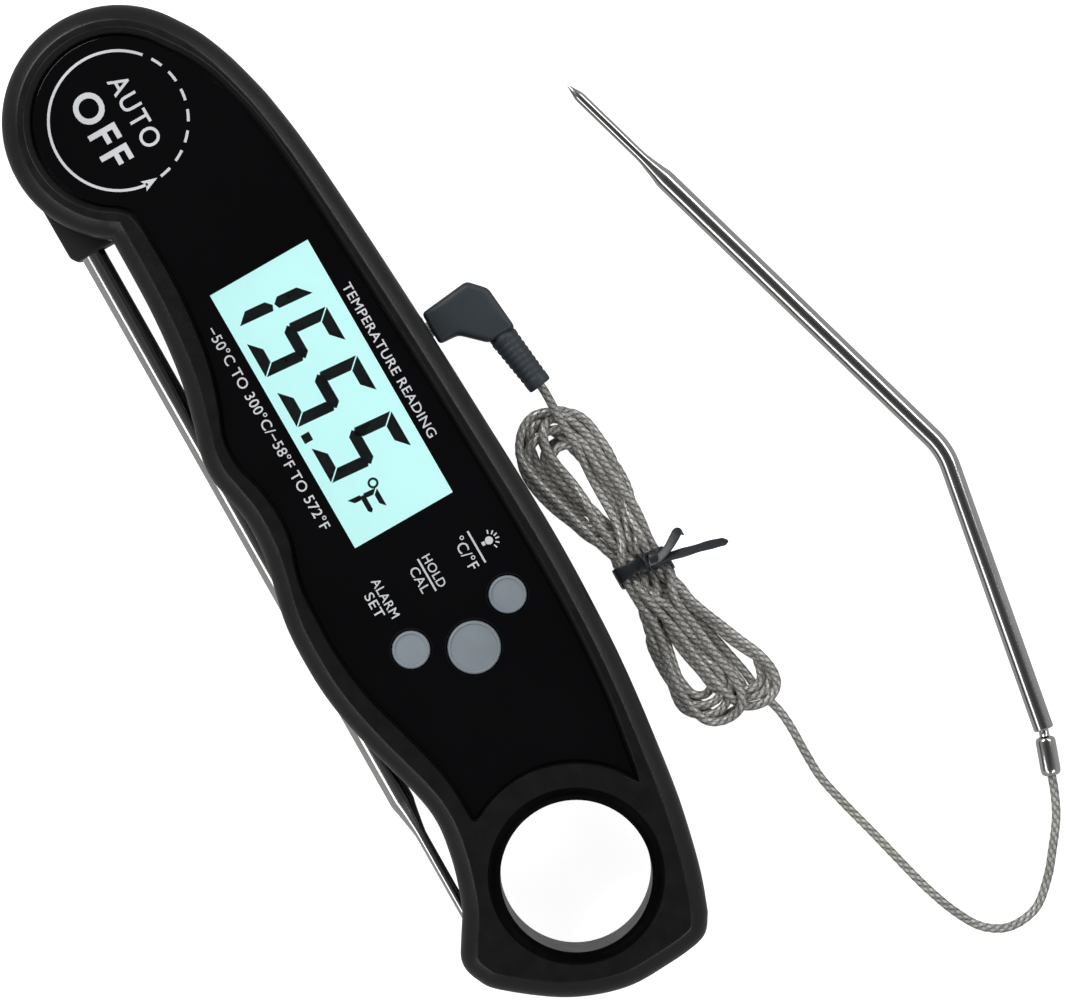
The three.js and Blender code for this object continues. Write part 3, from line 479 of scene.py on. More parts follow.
def cut(obj, *shapes, operation="DIFFERENCE", sharp=32):
    for shape in shapes:
        cutter = put("cutter", shape, obj.data.materials[0])
        modifier = obj.modifiers.new("cut", "BOOLEAN")
        modifier.operation = operation
        modifier.solver = "EXACT"
        modifier.object = cutter
        graph = bpy.context.evaluated_depsgraph_get()
        result = bpy.data.meshes.new_from_object(obj.evaluated_get(graph))
        obj.modifiers.clear()
        spent = obj.data
        obj.data = result
        result.name = obj.name
        bpy.data.meshes.remove(spent)
        bpy.data.objects.remove(cutter)
    shade(obj, sharp)
    return obj


def rounding(edge, steps):
    """(distance in, distance down) of a quarter-round edge, from the side to the top."""
    angles = np.radians(np.linspace(0, 90, steps + 1))
    return [(edge * (1 - math.cos(a)), edge * (1 - math.sin(a))) for a in angles]


def slab(outline, z, edge_top=0.0, edge_bottom=0.0, steps=3):
    """A solid between two levels, with its top and bottom edges rounded."""
    shape = Shape()
    down = rounding(edge_bottom, steps)[::-1] if edge_bottom else [(0, 0)]
    up = rounding(edge_top, steps) if edge_top else [(0, 0)]
    loops = [shape.loop(inset(outline, d), z[0] + e) for d, e in down]
    loops += [shape.loop(inset(outline, d), z[1] - e) for d, e in up]
    shape.wall(loops)
    shape.cap(loops[0])
    shape.cap(loops[-1])
    return shape


def drum(x, y, radius, z, sides=48):
    return slab(circle((x, y), radius, sides)[::-1], z)


def lathe(profile, sides=48):
    """A solid of revolution about +X. The profile's points are (distance along X, radius)."""
    shape = Shape()
    widest = max(radius for _, radius in profile)
    rings = []
    for x, radius in profile:
        if radius < 1e-6:
            rings.append(shape.add([(x, 0, 0)]) * sides)
        else:
            turn = np.radians(np.arange(sides) * 360 / sides)
            rings.append(shape.add([(x, radius * math.cos(a), radius * math.sin(a)) for a in turn]))
    for m, n in zip(range(len(rings)), range(1, len(rings))):
        for i in range(sides):
            j = (i + 1) % sides
            around = (i * 2 * math.pi * widest / sides, (i + 1) * 2 * math.pi * widest / sides)
            corner = {
                rings[m][i]: (profile[m][0], around[0]), rings[m][j]: (profile[m][0], around[1]),
                rings[n][j]: (profile[n][0], around[1]), rings[n][i]: (profile[n][0], around[0]),
            }
            face = list(dict.fromkeys((rings[m][i], rings[m][j], rings[n][j], rings[n][i])))
            if len(face) > 2:
                shape.face(face, [corner[k] for k in face])
    return shape


def moved(shape, start, direction):
    """Turns a shape's +X to the given direction and moves its origin to start."""
    x = unit(np.asarray(direction, float))
    y = unit(np.cross((0, 0, 1) if abs(x[2]) < 0.9 else (0, 1, 0), x))
    turn = np.column_stack([x, y, np.cross(x, y)])
    shape.points = [tuple(turn @ np.array(point) + np.array(start)) for point in shape.points]
    return shape


def upright(profile, x, y, sides=48):
    """A solid of revolution about +Z through (x, y). The profile's points are (height, radius)."""
    return moved(lathe(profile, sides), (x, y, 0), (0, 0, 1))


def side_bore(x, z, radius, y):
    """A round hole along +Y between two values of it."""
    depth = y[1] - y[0]
    return moved(lathe([(0, 0), (0, radius), (depth, radius), (depth, 0)]), (x, y[0], z), (0, 1, 0))


def sweep(line, section, across=None, radius_at=None, closed=False):
    """A section of (side, up) points carried along a line. across keeps the section's side direction
    near one vector, and otherwise it turns as little as it can."""
    shape = Shape()
    count = len(line)
    if closed:
        tangents = unit(np.roll(line, -1, axis=0) - np.roll(line, 1, axis=0))
    else:
        tangents = unit(np.gradient(line, axis=0))
    side = np.array(across if across is not None else (0, 0, 1.0), float)
    if abs(side @ tangents[0]) > 0.9:
        side = np.array((0, 1.0, 0))
    reach = reach_along(line)
    flat = np.asarray(section, float)
    around = reach_along(np.vstack([flat, flat[:1]]))
    rings = []
    for k in range(count):
        if across is not None:
            side = np.array(across, float)
        side = unit(side - (side @ tangents[k]) * tangents[k])
        up = np.cross(tangents[k], side)
        scale = 1.0 if radius_at is None else radius_at(reach[k], np.arange(len(flat)))
        ring = line[k] + (flat[:, :1] * side + flat[:, 1:] * up) * np.reshape(scale, (-1, 1))
        rings.append(shape.add(ring))
    steps = list(range(count - 1)) + ([count - 1] if closed else [])
    for k in steps:
        n = (k + 1) % count
        for i in range(len(flat)):
            j = (i + 1) % len(flat)
            ahead = reach[k + 1] if k + 1 < count else reach[k] + np.linalg.norm(line[0] - line[-1])
            near, far = around[i], around[i + 1]
            corners = [(reach[k], near), (reach[k], far), (ahead, far), (ahead, near)]
            shape.face((rings[k][i], rings[k][j], rings[n][j], rings[n][i]), corners)
    if not closed:
        shape.face(rings[0])
        shape.face(rings[-1])
    return shape


def joined(*shapes):
    whole = Shape()
    for shape in shapes:
        first = len(whole.points)
        whole.points += shape.points
        whole.faces += [tuple(i + first for i in face) for face in shape.faces]
        whole.corners += shape.corners
    return whole


def belongs(obj, body, slot, *nodes):
    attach(obj, body)
    if nodes:
        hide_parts(*nodes)
    return obj


# ---- Materials -----------------------------------------------------------------------------------

class Finish:
    """A procedural material. Its helpers each add a node or two."""

    def __init__(self, name, roughness, metallic=0.0, **sockets):
        self.material = bpy.data.materials.new(name)
        self.material.use_nodes = True
        self.tree = self.material.node_tree
        self.shader = self.tree.nodes["Principled BSDF"]
        self.place = self.tree.nodes.new("ShaderNodeTexCoord")
        self.shader.inputs["Roughness"].default_value = roughness
        self.shader.inputs["Metallic"].default_value = metallic
        for socket, value in sockets.items():
            self.shader.inputs[socket.replace("_", " ")].default_value = value

    def link(self, out, into):
        self.tree.links.new(out, into)

    def stretched(self, scale, output="Object"):
        """Texture space in which one unit is a millimetre times the scale."""
        node = self.tree.nodes.new("ShaderNodeMapping")
        per_unit = 1 / MM if output == "Object" else 1
        node.inputs["Scale"].default_value = [s * per_unit for s in scale]
        self.link(self.place.outputs[output], node.inputs["Vector"])
        return node.outputs["Vector"]

    def noise(self, vector, detail=3.0, roughness=0.55, distortion=0.0):
        node = self.tree.nodes.new("ShaderNodeTexNoise")
        node.inputs["Scale"].default_value = 1
        node.inputs["Detail"].default_value = detail
        node.inputs["Roughness"].default_value = roughness
        node.inputs["Distortion"].default_value = distortion
        self.link(vector, node.inputs["Vector"])
        return node.outputs["Fac"]

    def grain(self, size, detail=2.0, output="Object"):
        """Even noise whose features are about this many millimetres."""
        return self.noise(self.stretched([1 / size] * 3, output), detail)

    def level(self, value, low, high, to_low=0.0, to_high=1.0):
        node = self.tree.nodes.new("ShaderNodeMapRange")
        numbers = {"From Min": low, "From Max": high, "To Min": to_low, "To Max": to_high}
        for socket, number in numbers.items():
            node.inputs[socket].default_value = number
        self.link(value, node.inputs["Value"])
        return node.outputs["Result"]

    def maths(self, operation, a, b=None):
        node = self.tree.nodes.new("ShaderNodeMath")
        node.operation = operation
        for socket, value in zip(node.inputs, (a, b)):
            if isinstance(value, (int, float)):
                socket.default_value = value
            elif value is not None:
                self.link(value, socket)
        return node.outputs["Value"]

    def colour(self, share, first, second):
        node = self.tree.nodes.new("ShaderNodeMix")
        node.data_type = "RGBA"
        for socket, value in ((node.inputs[6], first), (node.inputs[7], second)):
            if isinstance(value, tuple):
                socket.default_value = (*value, 1)
            else:
                self.link(value, socket)
        self.link(share, node.inputs[0])
        return node.outputs[2]

    def paint(self, colour):
        self.link(colour, self.shader.inputs["Base Color"])

    def gloss(self, value):
        self.link(value, self.shader.inputs["Roughness"])

    def relief(self, height, depth, strength=1.0):
        """Bump of the given depth in millimetres, added on top of any earlier one."""
        node = self.tree.nodes.new("ShaderNodeBump")
        node.inputs["Distance"].default_value = depth * MM
        node.inputs["Strength"].default_value = strength
        self.link(height, node.inputs["Height"])
        earlier = self.shader.inputs["Normal"].links
        if earlier:
            self.link(earlier[0].from_socket, node.inputs["Normal"])
        self.link(node.outputs["Normal"], self.shader.inputs["Normal"])


def tint(colour, factor):
    return tuple(min(c * factor, 1.0) for c in colour)


def moulded(name, colour, roughness, grain=0.16, depth=0.012, wear=1.35, **sockets):
    """Moulded plastic or rubber: a fine spark-eroded grain, slow colour drift and faint scuffs."""
    finish = Finish(name, roughness, **sockets)
    drift = finish.level(finish.grain(14.0, 3), 0.3, 0.7)
    scuffs = finish.noise(finish.stretched((0.35, 1.6, 0.8)), 5, 0.7, 0.6)
    scuffed = finish.level(scuffs, 0.62, 0.8)
    base = finish.colour(drift, tint(colour, 0.86), tint(colour, 1.1))
    finish.paint(finish.colour(finish.maths("MULTIPLY", scuffed, 0.35), base, tint(colour, wear)))
    rough = finish.level(finish.grain(3.0), 0.25, 0.75, roughness - 0.05, roughness + 0.05)
    finish.gloss(finish.maths("ADD", rough, finish.maths("MULTIPLY", scuffed, 0.06)))
    finish.relief(finish.grain(grain, 1), depth, 0.55)
    return finish.material


def glossy(name, colour, roughness):
    """Polished black plastic with hairline wipe marks in its gloss, a faint cloudy tone and a slight ripple.
    """
    finish = Finish(name, roughness, IOR=1.49)
    haze = finish.level(finish.grain(22.0, 3), 0.3, 0.7)
    finish.paint(finish.colour(haze, tint(colour, 0.8), tint(colour, 1.25)))
    wipes = finish.level(finish.noise(finish.stretched((0.08, 5.0, 1.0)), 4, 0.6), 0.55, 0.8)
    finish.gloss(finish.level(wipes, 0, 1, roughness, roughness + 0.07))
    finish.relief(finish.grain(9.0, 2), 0.01, 0.25)
    return finish.material


def metal(name, colour, roughness, along, across, depth, output="Object"):
    """Drawn or ground metal, with its marks stretched along one direction."""
    finish = Finish(name, roughness, metallic=1.0)
    lines = finish.noise(finish.stretched((1 / along, 1 / across, 1 / across), output), 4, 0.6)
    cloud = finish.level(finish.grain(9.0, 3), 0.3, 0.7)
    finish.paint(finish.colour(cloud, tint(colour, 0.9), tint(colour, 1.06)))
    finish.gloss(finish.level(lines, 0.3, 0.7, roughness * 0.75, roughness * 1.35))
    finish.relief(lines, depth, 0.5)
    return finish.material


def braid(name, diameter):
    """Round braid of fine steel wire, laid out by the cord's own length and girth. Its colour has painted
    light: a highlight on the strands of one lean, and painted shade on the other lean and in the gaps
    between strands.
    """
    finish = Finish(name, 0.38, metallic=0.25)
    girth = math.pi * diameter
    split = finish.tree.nodes.new("ShaderNodeSeparateXYZ")
    finish.link(finish.place.outputs["UV"], split.inputs["Vector"])
    along = finish.maths("MULTIPLY", split.outputs["X"], 2 * math.pi / BRAID_PITCH)
    around = finish.maths("MULTIPLY", split.outputs["Y"], 2 * math.pi * BRAID_STARTS / girth)
    left = finish.maths("SINE", finish.maths("ADD", along, around))
    right = finish.maths("SINE", finish.maths("SUBTRACT", along, around))
    # 1 on the strands and 0 in the gaps between them; the colour below paints shade in the gaps, and the
    # bump raises the strands with the same mask.
    strands_over_shaded_gaps = finish.level(finish.maths("MAXIMUM", left, right), -1.0, -0.2)
    lean = finish.level(finish.maths("SUBTRACT", left, right), -0.5, 0.5)
    fine = finish.noise(finish.stretched((9.0, 9.0, 9.0), "UV"), 3, 0.7)
    # Painted highlight and painted shade: strands of one lean are near-white and strands of the other lean
    # dark grey, as light falls on the crossing wires.
    steel = finish.colour(lean, (0.20, 0.195, 0.18), (1.0, 0.985, 0.94))
    # Wear: fine patches of duller grey over the painted light and shade of the strands.
    worn_strands_with_painted_light = finish.colour(finish.level(fine, 0.3, 0.75), (0.42, 0.41, 0.38), steel)
    drift = finish.level(finish.grain(6.0, 3), 0.35, 0.65, 0.7, 1.0)
    # Painted shade: the gaps between strands are near-black, and the strands keep their own colour.
    finish.paint(finish.colour(finish.maths("MULTIPLY", strands_over_shaded_gaps, drift), (0.05, 0.049, 0.045), worn_strands_with_painted_light))
    finish.gloss(finish.level(fine, 0.3, 0.7, 0.24, 0.42))
    finish.relief(strands_over_shaded_gaps, 0.12, 0.8)
    finish.relief(fine, 0.03, 0.5)
    return finish.material


def backlit(name, colour, strength):
    """The lit display: an even glow, a little stronger towards the light behind one long side."""
    finish = Finish(name, 0.25, Emission_Strength=strength)
    rise = finish.tree.nodes.new("ShaderNodeSeparateXYZ")
    finish.link(finish.place.outputs["Object"], rise.inputs["Vector"])
    share = finish.level(rise.outputs["Y"], WINDOW_LOW[1] * MM, WINDOW_HIGH[1] * MM)
    cloud = finish.level(finish.grain(8.0, 2), 0.3, 0.7, -0.15, 0.15)
    glow = finish.colour(finish.maths("ADD", share, cloud), tint(colour, 0.96), colour)
    finish.paint(finish.colour(finish.maths("ADD", share, cloud), (0.05, 0.09, 0.09), (0.07, 0.11, 0.11)))
    finish.link(glow, finish.shader.inputs["Emission Color"])
    return finish.material


def paper():
    """A plain white sweep, which reflections and bounced light pass through."""
    finish = Finish("paper", 0.9, Emission_Strength=1.0)
    finish.shader.inputs["Emission Color"].default_value = (0.95, 0.95, 0.95, 1)
    fibres = finish.level(finish.grain(0.8, 2), 0.3, 0.7)
    finish.paint(finish.colour(fibres, (0.60, 0.60, 0.60), (0.66, 0.66, 0.66)))
    nodes = finish.tree.nodes
    looked_at = nodes.new("ShaderNodeLightPath").outputs["Is Camera Ray"]
    mix = nodes.new("ShaderNodeMixShader")
    finish.link(looked_at, mix.inputs["Fac"])
    finish.link(nodes.new("ShaderNodeBsdfTransparent").outputs["BSDF"], mix.inputs[1])
    finish.link(finish.shader.outputs["BSDF"], mix.inputs[2])
    output = next(node for node in nodes if node.type == "OUTPUT_MATERIAL")
    finish.link(mix.outputs["Shader"], output.inputs["Surface"])
    return finish.material


def clear(name):
    finish = Finish(name, 0.03, IOR=1.45, Transmission_Weight=1.0)
    haze = finish.level(finish.grain(6.0, 2), 0.3, 0.7)
    finish.paint(finish.colour(haze, (0.985, 0.99, 0.99), (1.0, 1.0, 1.0)))
    finish.gloss(finish.level(haze, 0, 1, 0.015, 0.05))
    return finish.material


CASING = moulded(
    "casing_black", (0.0045, 0.0045, 0.0048), 0.36, grain=0.32, depth=0.05, wear=1.7,
    Specular_IOR_Level=0.45,
)
PANEL = glossy("panel_gloss", (0.0022, 0.0022, 0.0026), 0.09)
BUTTON = moulded("button_grey", (0.275, 0.315, 0.35), 0.5, grain=0.12, depth=0.006, wear=1.08)
HUB = moulded("hub_black", (0.0075, 0.0075, 0.008), 0.55, grain=0.3, depth=0.03, wear=1.8)
RUBBER = moulded("seal_rubber", (0.010, 0.010, 0.011), 0.8, grain=0.25, depth=0.02)
PLUG_SLATE = moulded("plug_slate", (0.036, 0.047, 0.056), 0.5, grain=0.2, depth=0.016, wear=1.5)
TIE = moulded("tie_vinyl", (0.020, 0.025, 0.030), 0.38, grain=0.4, depth=0.02, wear=1.9)
COMPONENT = moulded("component_black", (0.012, 0.012, 0.013), 0.45, grain=0.1, depth=0.008)
BOARD = moulded("board_green", (0.012, 0.085, 0.032), 0.35, grain=0.5, depth=0.02, wear=1.6)
INK = moulded("printing_white", (0.80, 0.82, 0.85), 0.55, grain=0.2, depth=0.004, wear=1.02)
SEGMENT = moulded("lcd_ink", (0.004, 0.008, 0.009), 0.3, grain=0.5, depth=0.002)
PROBE_STEEL = metal("probe_steel", (0.66, 0.655, 0.635), 0.15, 30.0, 0.12, 0.004, "UV")
POLISHED = metal("polished_steel", (0.62, 0.62, 0.61), 0.22, 2.0, 0.25, 0.001)
BRASS = metal("contact_brass", (0.62, 0.42, 0.16), 0.28, 3.0, 0.3, 0.006)
BRAIDED = braid("cord_braid", CORD_DIAMETER)
GLOW = backlit("display_glow", (0.578, 1.0, 0.973), 1.0)
CLEAR = clear("window_clear")


# ---- Camera and light ----------------------------------------------------------------------------

# Each softbox: azimuth and elevation in degrees, its two sides in metres, and its power in watts.
SOFTBOXES = (
    (195, 42, (0.45, 0.3), 3.4), (105, 38, (0.7, 0.25), 2.0), (15, 45, (0.45, 0.3), 1.2),
    (285, 38, (0.7, 0.25), 1.4),
)


def make_camera():
    data = bpy.data.cameras.new("camera")
    data.lens = CAMERA_LENS
    data.sensor_width = CAMERA_SENSOR
    camera = bpy.data.objects.new("camera", data)
    bpy.context.scene.collection.objects.link(camera)
    height = PANEL_TOP + VIEW_WIDTH * CAMERA_LENS / CAMERA_SENSOR
    right = Vector((math.cos(CAMERA_TURN), math.sin(CAMERA_TURN), 0))
    up = Vector((-math.sin(CAMERA_TURN), math.cos(CAMERA_TURN), 0))
    camera.matrix_world = Matrix((
        (right.x, up.x, 0, CAMERA_AIM[0] * MM),
        (right.y, up.y, 0, CAMERA_AIM[1] * MM),
        (0, 0, 1, height * MM),
        (0, 0, 0, 1),
    ))
    bpy.context.scene.camera = camera


def make_softbox(azimuth, elevation, size, power):
    """A square light that faces the middle of the object, in metres and watts."""
    data = bpy.data.lights.new("softbox", "AREA")
    data.shape = "RECTANGLE"
    data.size, data.size_y = size
    data.energy = power
    lamp = bpy.data.objects.new("softbox", data)
    bpy.context.scene.collection.objects.link(lamp)
    turn, rise = math.radians(azimuth), math.radians(elevation)
    away = Vector((math.cos(turn) * math.cos(rise), math.sin(turn) * math.cos(rise), math.sin(rise)))
    lamp.location = Vector((CAMERA_AIM[0] * MM, CAMERA_AIM[1] * MM, 0)) + away * SOFTBOX_DISTANCE
    lamp.rotation_euler = away.to_track_quat("Z", "Y").to_euler()


def make_studio():
    """A soft grey sky, four softboxes and a pale floor."""
    world = bpy.data.worlds.new("studio")
    world.use_nodes = True
    bpy.context.scene.world = world
    tree = world.node_tree
    place = tree.nodes.new("ShaderNodeTexCoord")
    split = tree.nodes.new("ShaderNodeSeparateXYZ")
    ramp = tree.nodes.new("ShaderNodeValToRGB")
    tree.links.new(place.outputs["Generated"], split.inputs["Vector"])
    tree.links.new(split.outputs["Z"], ramp.inputs["Fac"])
    stops = ramp.color_ramp.elements
    stops[0].position, stops[0].color = 0.0, (0.75, 0.75, 0.76, 1)
    stops[1].position, stops[1].color = 1.0, (0.10, 0.10, 0.11, 1)
    shoulder = stops.new(0.45)
    shoulder.color = (0.6, 0.6, 0.61, 1)
    crown = stops.new(0.86)
    crown.color = (0.2, 0.2, 0.21, 1)
    tree.links.new(ramp.outputs["Color"], tree.nodes["Background"].inputs["Color"])
    tree.nodes["Background"].inputs["Strength"].default_value = 0.5
    for azimuth, elevation, size, power in SOFTBOXES:
        make_softbox(azimuth, elevation, size, power)
    floor = Shape()
    floor.cap(floor.loop(rectangle((-1500, 1700), (-1600, 1600)), FLOOR_Z))
    sweep_floor = put("floor", floor, paper())
    sweep_floor.data.flip_normals()
    bpy.context.scene.view_settings.view_transform = "Standard"


# ---- Cord ----------------------------------------------------------------------------------------

def fold(x_end, y_middle, half, side):
    """A half turn of the hank: five points, from the -Y side to the +Y side."""
    angles = np.radians((-80, -40, 0, 40, 80))
    return [(x_end + side * half * (math.cos(a) - 1), y_middle + half * math.sin(a)) for a in angles]


def hank_route():
    """The cord from the plug, wound to and fro between its folds, to where its run to the probe starts."""
    strands = 2 * len(RIGHT_FOLDS) + 1

    def level(k):
        return HANK_Z[1] - (HANK_Z[1] - HANK_Z[0]) * k / (strands - 1)

    def lane(k):
        return WAIST[1] + (LANES[k % 5] - 2) * LANE_STEP + 0.3 * ((k // 5) % 2)

    route = list(CORD_START)
    strand = 0
    left_y, left_half = 0, 0
    for (right_x, right_y, right_half), (next_x, next_y, next_half) in zip(RIGHT_FOLDS, LEFT_FOLDS):
        z = level(strand)
        if strand == 0:
            route += [(80, 35.6, z), (90, 35.4, z)]
        else:
            route += [(83, left_y - left_half * 0.75 + 0.3, z), (91, 34.4 - left_half * 0.5, z)]
        lean = (right_y - 34) * 0.3
        route += [
            (WAIST[0], lane(strand), z), (105, 33.6 + lean - right_half * 0.4, z),
            (112, 33.6 + 2 * lean - right_half * 0.8, z),
        ]
        route += [(x, y, (z + level(strand + 1)) / 2) for x, y in fold(right_x, right_y, right_half, 1)]
        strand += 1
        z = level(strand)
        route += [
            (112, 33.8 + 2 * lean + right_half * 0.8, z), (105, 34.4 + lean + right_half * 0.45, z),
            (WAIST[0], lane(strand), z), (91, 35.2 + next_half * 0.45, z),
            (83, 34.6 + (next_y - 33) * 0.5 + next_half * 0.75, z),
        ]
        back = fold(next_x, next_y, next_half, -1)[::-1]
        route += [(x, y, (z + level(strand + 1)) / 2) for x, y in back]
        left_y, left_half = next_y, next_half
        strand += 1
    z = level(strand)
    route += [
        (83, left_y - left_half * 0.75 + 0.3, z), (91, 33.2, z), (WAIST[0], lane(strand), z),
        (107, 35.8, z), (116, 39.6, 0.8), (122, 41.6, 0.7),
    ]
    return np.array(route)


def smooth_line(points, spacing):
    """A centripetal Catmull-Rom curve through the points, at an even spacing."""
    knots = np.vstack([2 * points[0] - points[1], points, 2 * points[-1] - points[-2]])
    fine = []
    for a, b, c, d in zip(knots, knots[1:], knots[2:], knots[3:]):
        t = np.cumsum([0] + [max(np.linalg.norm(q - p), 1e-6) ** 0.5 for p, q in ((a, b), (b, c), (c, d))])
        s = np.linspace(t[1], t[2], 24, endpoint=False)[:, None]
        ab = (t[1] - s) / (t[1] - t[0]) * a + (s - t[0]) / (t[1] - t[0]) * b
        bc = (t[2] - s) / (t[2] - t[1]) * b + (s - t[1]) / (t[2] - t[1]) * c
        cd = (t[3] - s) / (t[3] - t[2]) * c + (s - t[2]) / (t[3] - t[2]) * d
        abc = (t[2] - s) / (t[2] - t[0]) * ab + (s - t[0]) / (t[2] - t[0]) * bc
        bcd = (t[3] - s) / (t[3] - t[1]) * bc + (s - t[1]) / (t[3] - t[1]) * cd
        fine.append((t[2] - s) / (t[2] - t[1]) * abc + (s - t[1]) / (t[2] - t[1]) * bcd)
    line = np.vstack([*fine, points[-1:]])
    return evenly(line, round(length_of(line) / spacing))


def settled(start):
    """Lets the hank sink under its own weight, with its strands pushed a diameter apart, its length
    kept, and the tie holding its waist together."""
    line = start.copy()
    count = len(line)
    index = np.arange(count)
    apart = int(math.ceil(1.6 * CORD_DIAMETER / SETTLE_SPACING)) + 1
    ceiling = start[0, 2]
    for step in range(SETTLE_STEPS):
        if step % 10 == 0:
            squares = ((line[:, None] - line[None]) ** 2).sum(2)
            near = (squares < (CORD_DIAMETER * 1.7) ** 2) & (index[:, None] - index[None] > apart)
            a, b = np.nonzero(near)
        line[1:-1, 2] -= SETTLE_FALL
        line[1:-1, :2] += SETTLE_HOME * (start[1:-1, :2] - line[1:-1, :2])
        bow = (line[:-2] + line[2:]) / 2 - line[1:-1]
        line[1:-1] += SETTLE_SLACK * bow
        line[2:-2] -= SETTLE_STIFF * ((bow[:-2] + bow[2:]) / 2 - bow[1:-1])
        between = line[a] - line[b]
        gap = np.maximum(np.linalg.norm(between, axis=1), 1e-6)
        hit = gap < CORD_DIAMETER
        shift = (between / gap[:, None] * ((CORD_DIAMETER - gap) / 2)[:, None])[hit]
        push = np.zeros_like(line)
        hits = np.zeros(count)
        np.add.at(push, a[hit], shift)
        np.add.at(push, b[hit], -shift)
        np.add.at(hits, a[hit], 1)
        np.add.at(hits, b[hit], 1)
        line += push / np.maximum(hits, 1)[:, None] ** 0.6
        for first in (0, 1, 0, 1, 0, 1):
            i = np.arange(first, count - 1, 2)
            link = line[i + 1] - line[i]
            length = np.linalg.norm(link, axis=1)
            mend = link * ((length - SETTLE_SPACING) / length / 2)[:, None]
            line[i] += mend
            line[i + 1] -= mend
        line[:, 2] = np.clip(line[:, 2], CORD_DIAMETER / 2, ceiling)
        tied = np.abs(line[:, 0] - WAIST[0]) < TIE_HALF_WIDTH
        line[tied, 1] = np.clip(line[tied, 1], WAIST[1] - WAIST_HALF, WAIST[1] + WAIST_HALF)
        line[tied, 2] = np.clip(line[tied, 2], *TIE_Z)
        line[:2] = start[:2]
        line[-2:] = start[-2:]
    return line


def braid_swell(reach, side):
    """How far the braid's crossing strands stand out, for points round a section."""
    along = reach * 2 * math.pi / BRAID_PITCH
    around = side * 2 * math.pi * BRAID_STARTS / CORD_SIDES
    return 1 + BRAID_HEIGHT * (np.maximum(np.sin(along + around), np.sin(along - around)) - 1)


def make_cord():
    hank = settled(smooth_line(np.vstack([hank_route(), CORD_RUN[:3]]), SETTLE_SPACING))
    route = np.vstack([hank[:-2], smooth_line(np.array(CORD_RUN[2:]), SETTLE_SPACING)])
    line = smooth_line(route[::-1], CORD_RING)
    section = circle((0, 0), CORD_DIAMETER / 2, CORD_SIDES)
    cord = put("cord", sweep(line, section, radius_at=braid_swell), BRAIDED, sharp=80)
    belongs(cord, "wired_lead", "cord_braid", "cord_run", "cord_hank", "cord_start")
    return cord, line


# ---- Case ----------------------------------------------------------------------------------------

def screw_places():
    """Where the case screws are, seen from above."""
    return [middle(node)[:2] for node in SCREW_NODES]


def post_places():
    """The screws inside the cavity, where the shells have posts."""
    return [(x, y) for x, y in screw_places() if x < CAVITY_X[1]]


def ring_loop(shape, radius, z):
    """A clockwise loop round the hanging ring's hole."""
    return shape.loop(circle(RING_CENTRE, radius, RING_SIDES)[::-1], z)


def make_front_cover():
    """The upper shell: a soft outer bevel, a slope down to the panel, and a rounded hanging ring."""
    shape = Shape()
    outline = case_outline()
    panel = panel_outline()
    outer = [shape.loop(outline, CASE_SPLIT)]
    outer += [shape.loop(inset(outline, d), CASE_TOP - down) for d, down in RIM_PROFILE]
    share = slope_share(panel)
    foot = PANEL_SLOPE[-1][0]
    pocket = [
        shape.loop(inset(panel, -foot - (d - foot) * share), CASE_TOP - down) for d, down in PANEL_SLOPE
    ]
    pocket.append(shape.loop(inset(panel, -FIT), DECK_TOP))
    lip = RING_LIP_RADIUS - RING_HOLE_RADIUS
    ring = [ring_loop(shape, RING_LIP_RADIUS + 0.08, CASE_TOP)]
    ring += [
        ring_loop(shape, RING_LIP_RADIUS - d, CASE_TOP - lip + e)
        for d, e in [(lip - q, p) for q, p in rounding(lip, 7)][::-1]
    ]
    ring.append(ring_loop(shape, RING_HOLE_RADIUS, CASE_SPLIT))
    for loops in (outer, pocket, ring):
        shape.wall(loops)
    shape.cap(outer[-1], pocket[0], ring[0])
    shape.cap(pocket[-1])
    shape.cap(outer[0], ring[-1])
    cover = put("front_cover", shape, CASING)
    below = CASE_SPLIT - 1
    cuts = [
        slab(cavity_outline(), (below, DECK_BOTTOM)),
        slab(rectangle((8, CAVITY_X[0] + 1), (-3, 3)), (below, 12)),
        drum(0, 0, HEAD_WELL_RADIUS, (below, DECK_BOTTOM)),
    ]
    through_deck = (DECK_BOTTOM - 1, DECK_TOP + 0.1)
    cuts.append(slab(box_outline(low("lcd_glass"), high("lcd_glass"), FIT), through_deck))
    for name in BUTTON_NAMES:
        x, y, radius = button_place(name)
        cuts.append(drum(x, y, radius + FIT, through_deck))
    cut(cover, *cuts)
    posts = [drum(x, y, 3.0, (CASE_SPLIT, DECK_BOTTOM + 0.1)) for x, y in post_places()]
    cut(cover, *posts, operation="UNION")
    cut(cover, *[drum(x, y, SCREW_HOLE_RADIUS, (below, 12.9), 24) for x, y in screw_places()])
    belongs(even_normals(cover), "case", "casing", "front_shell")


def button_place(name):
    """A key's middle and its cap's radius. Its foot is 0.9 wider than the cap."""
    x, y, _ = middle(f"button_{name}")
    return x, y, (high(f"button_{name}")[0] - low(f"button_{name}")[0]) / 2 - 0.9


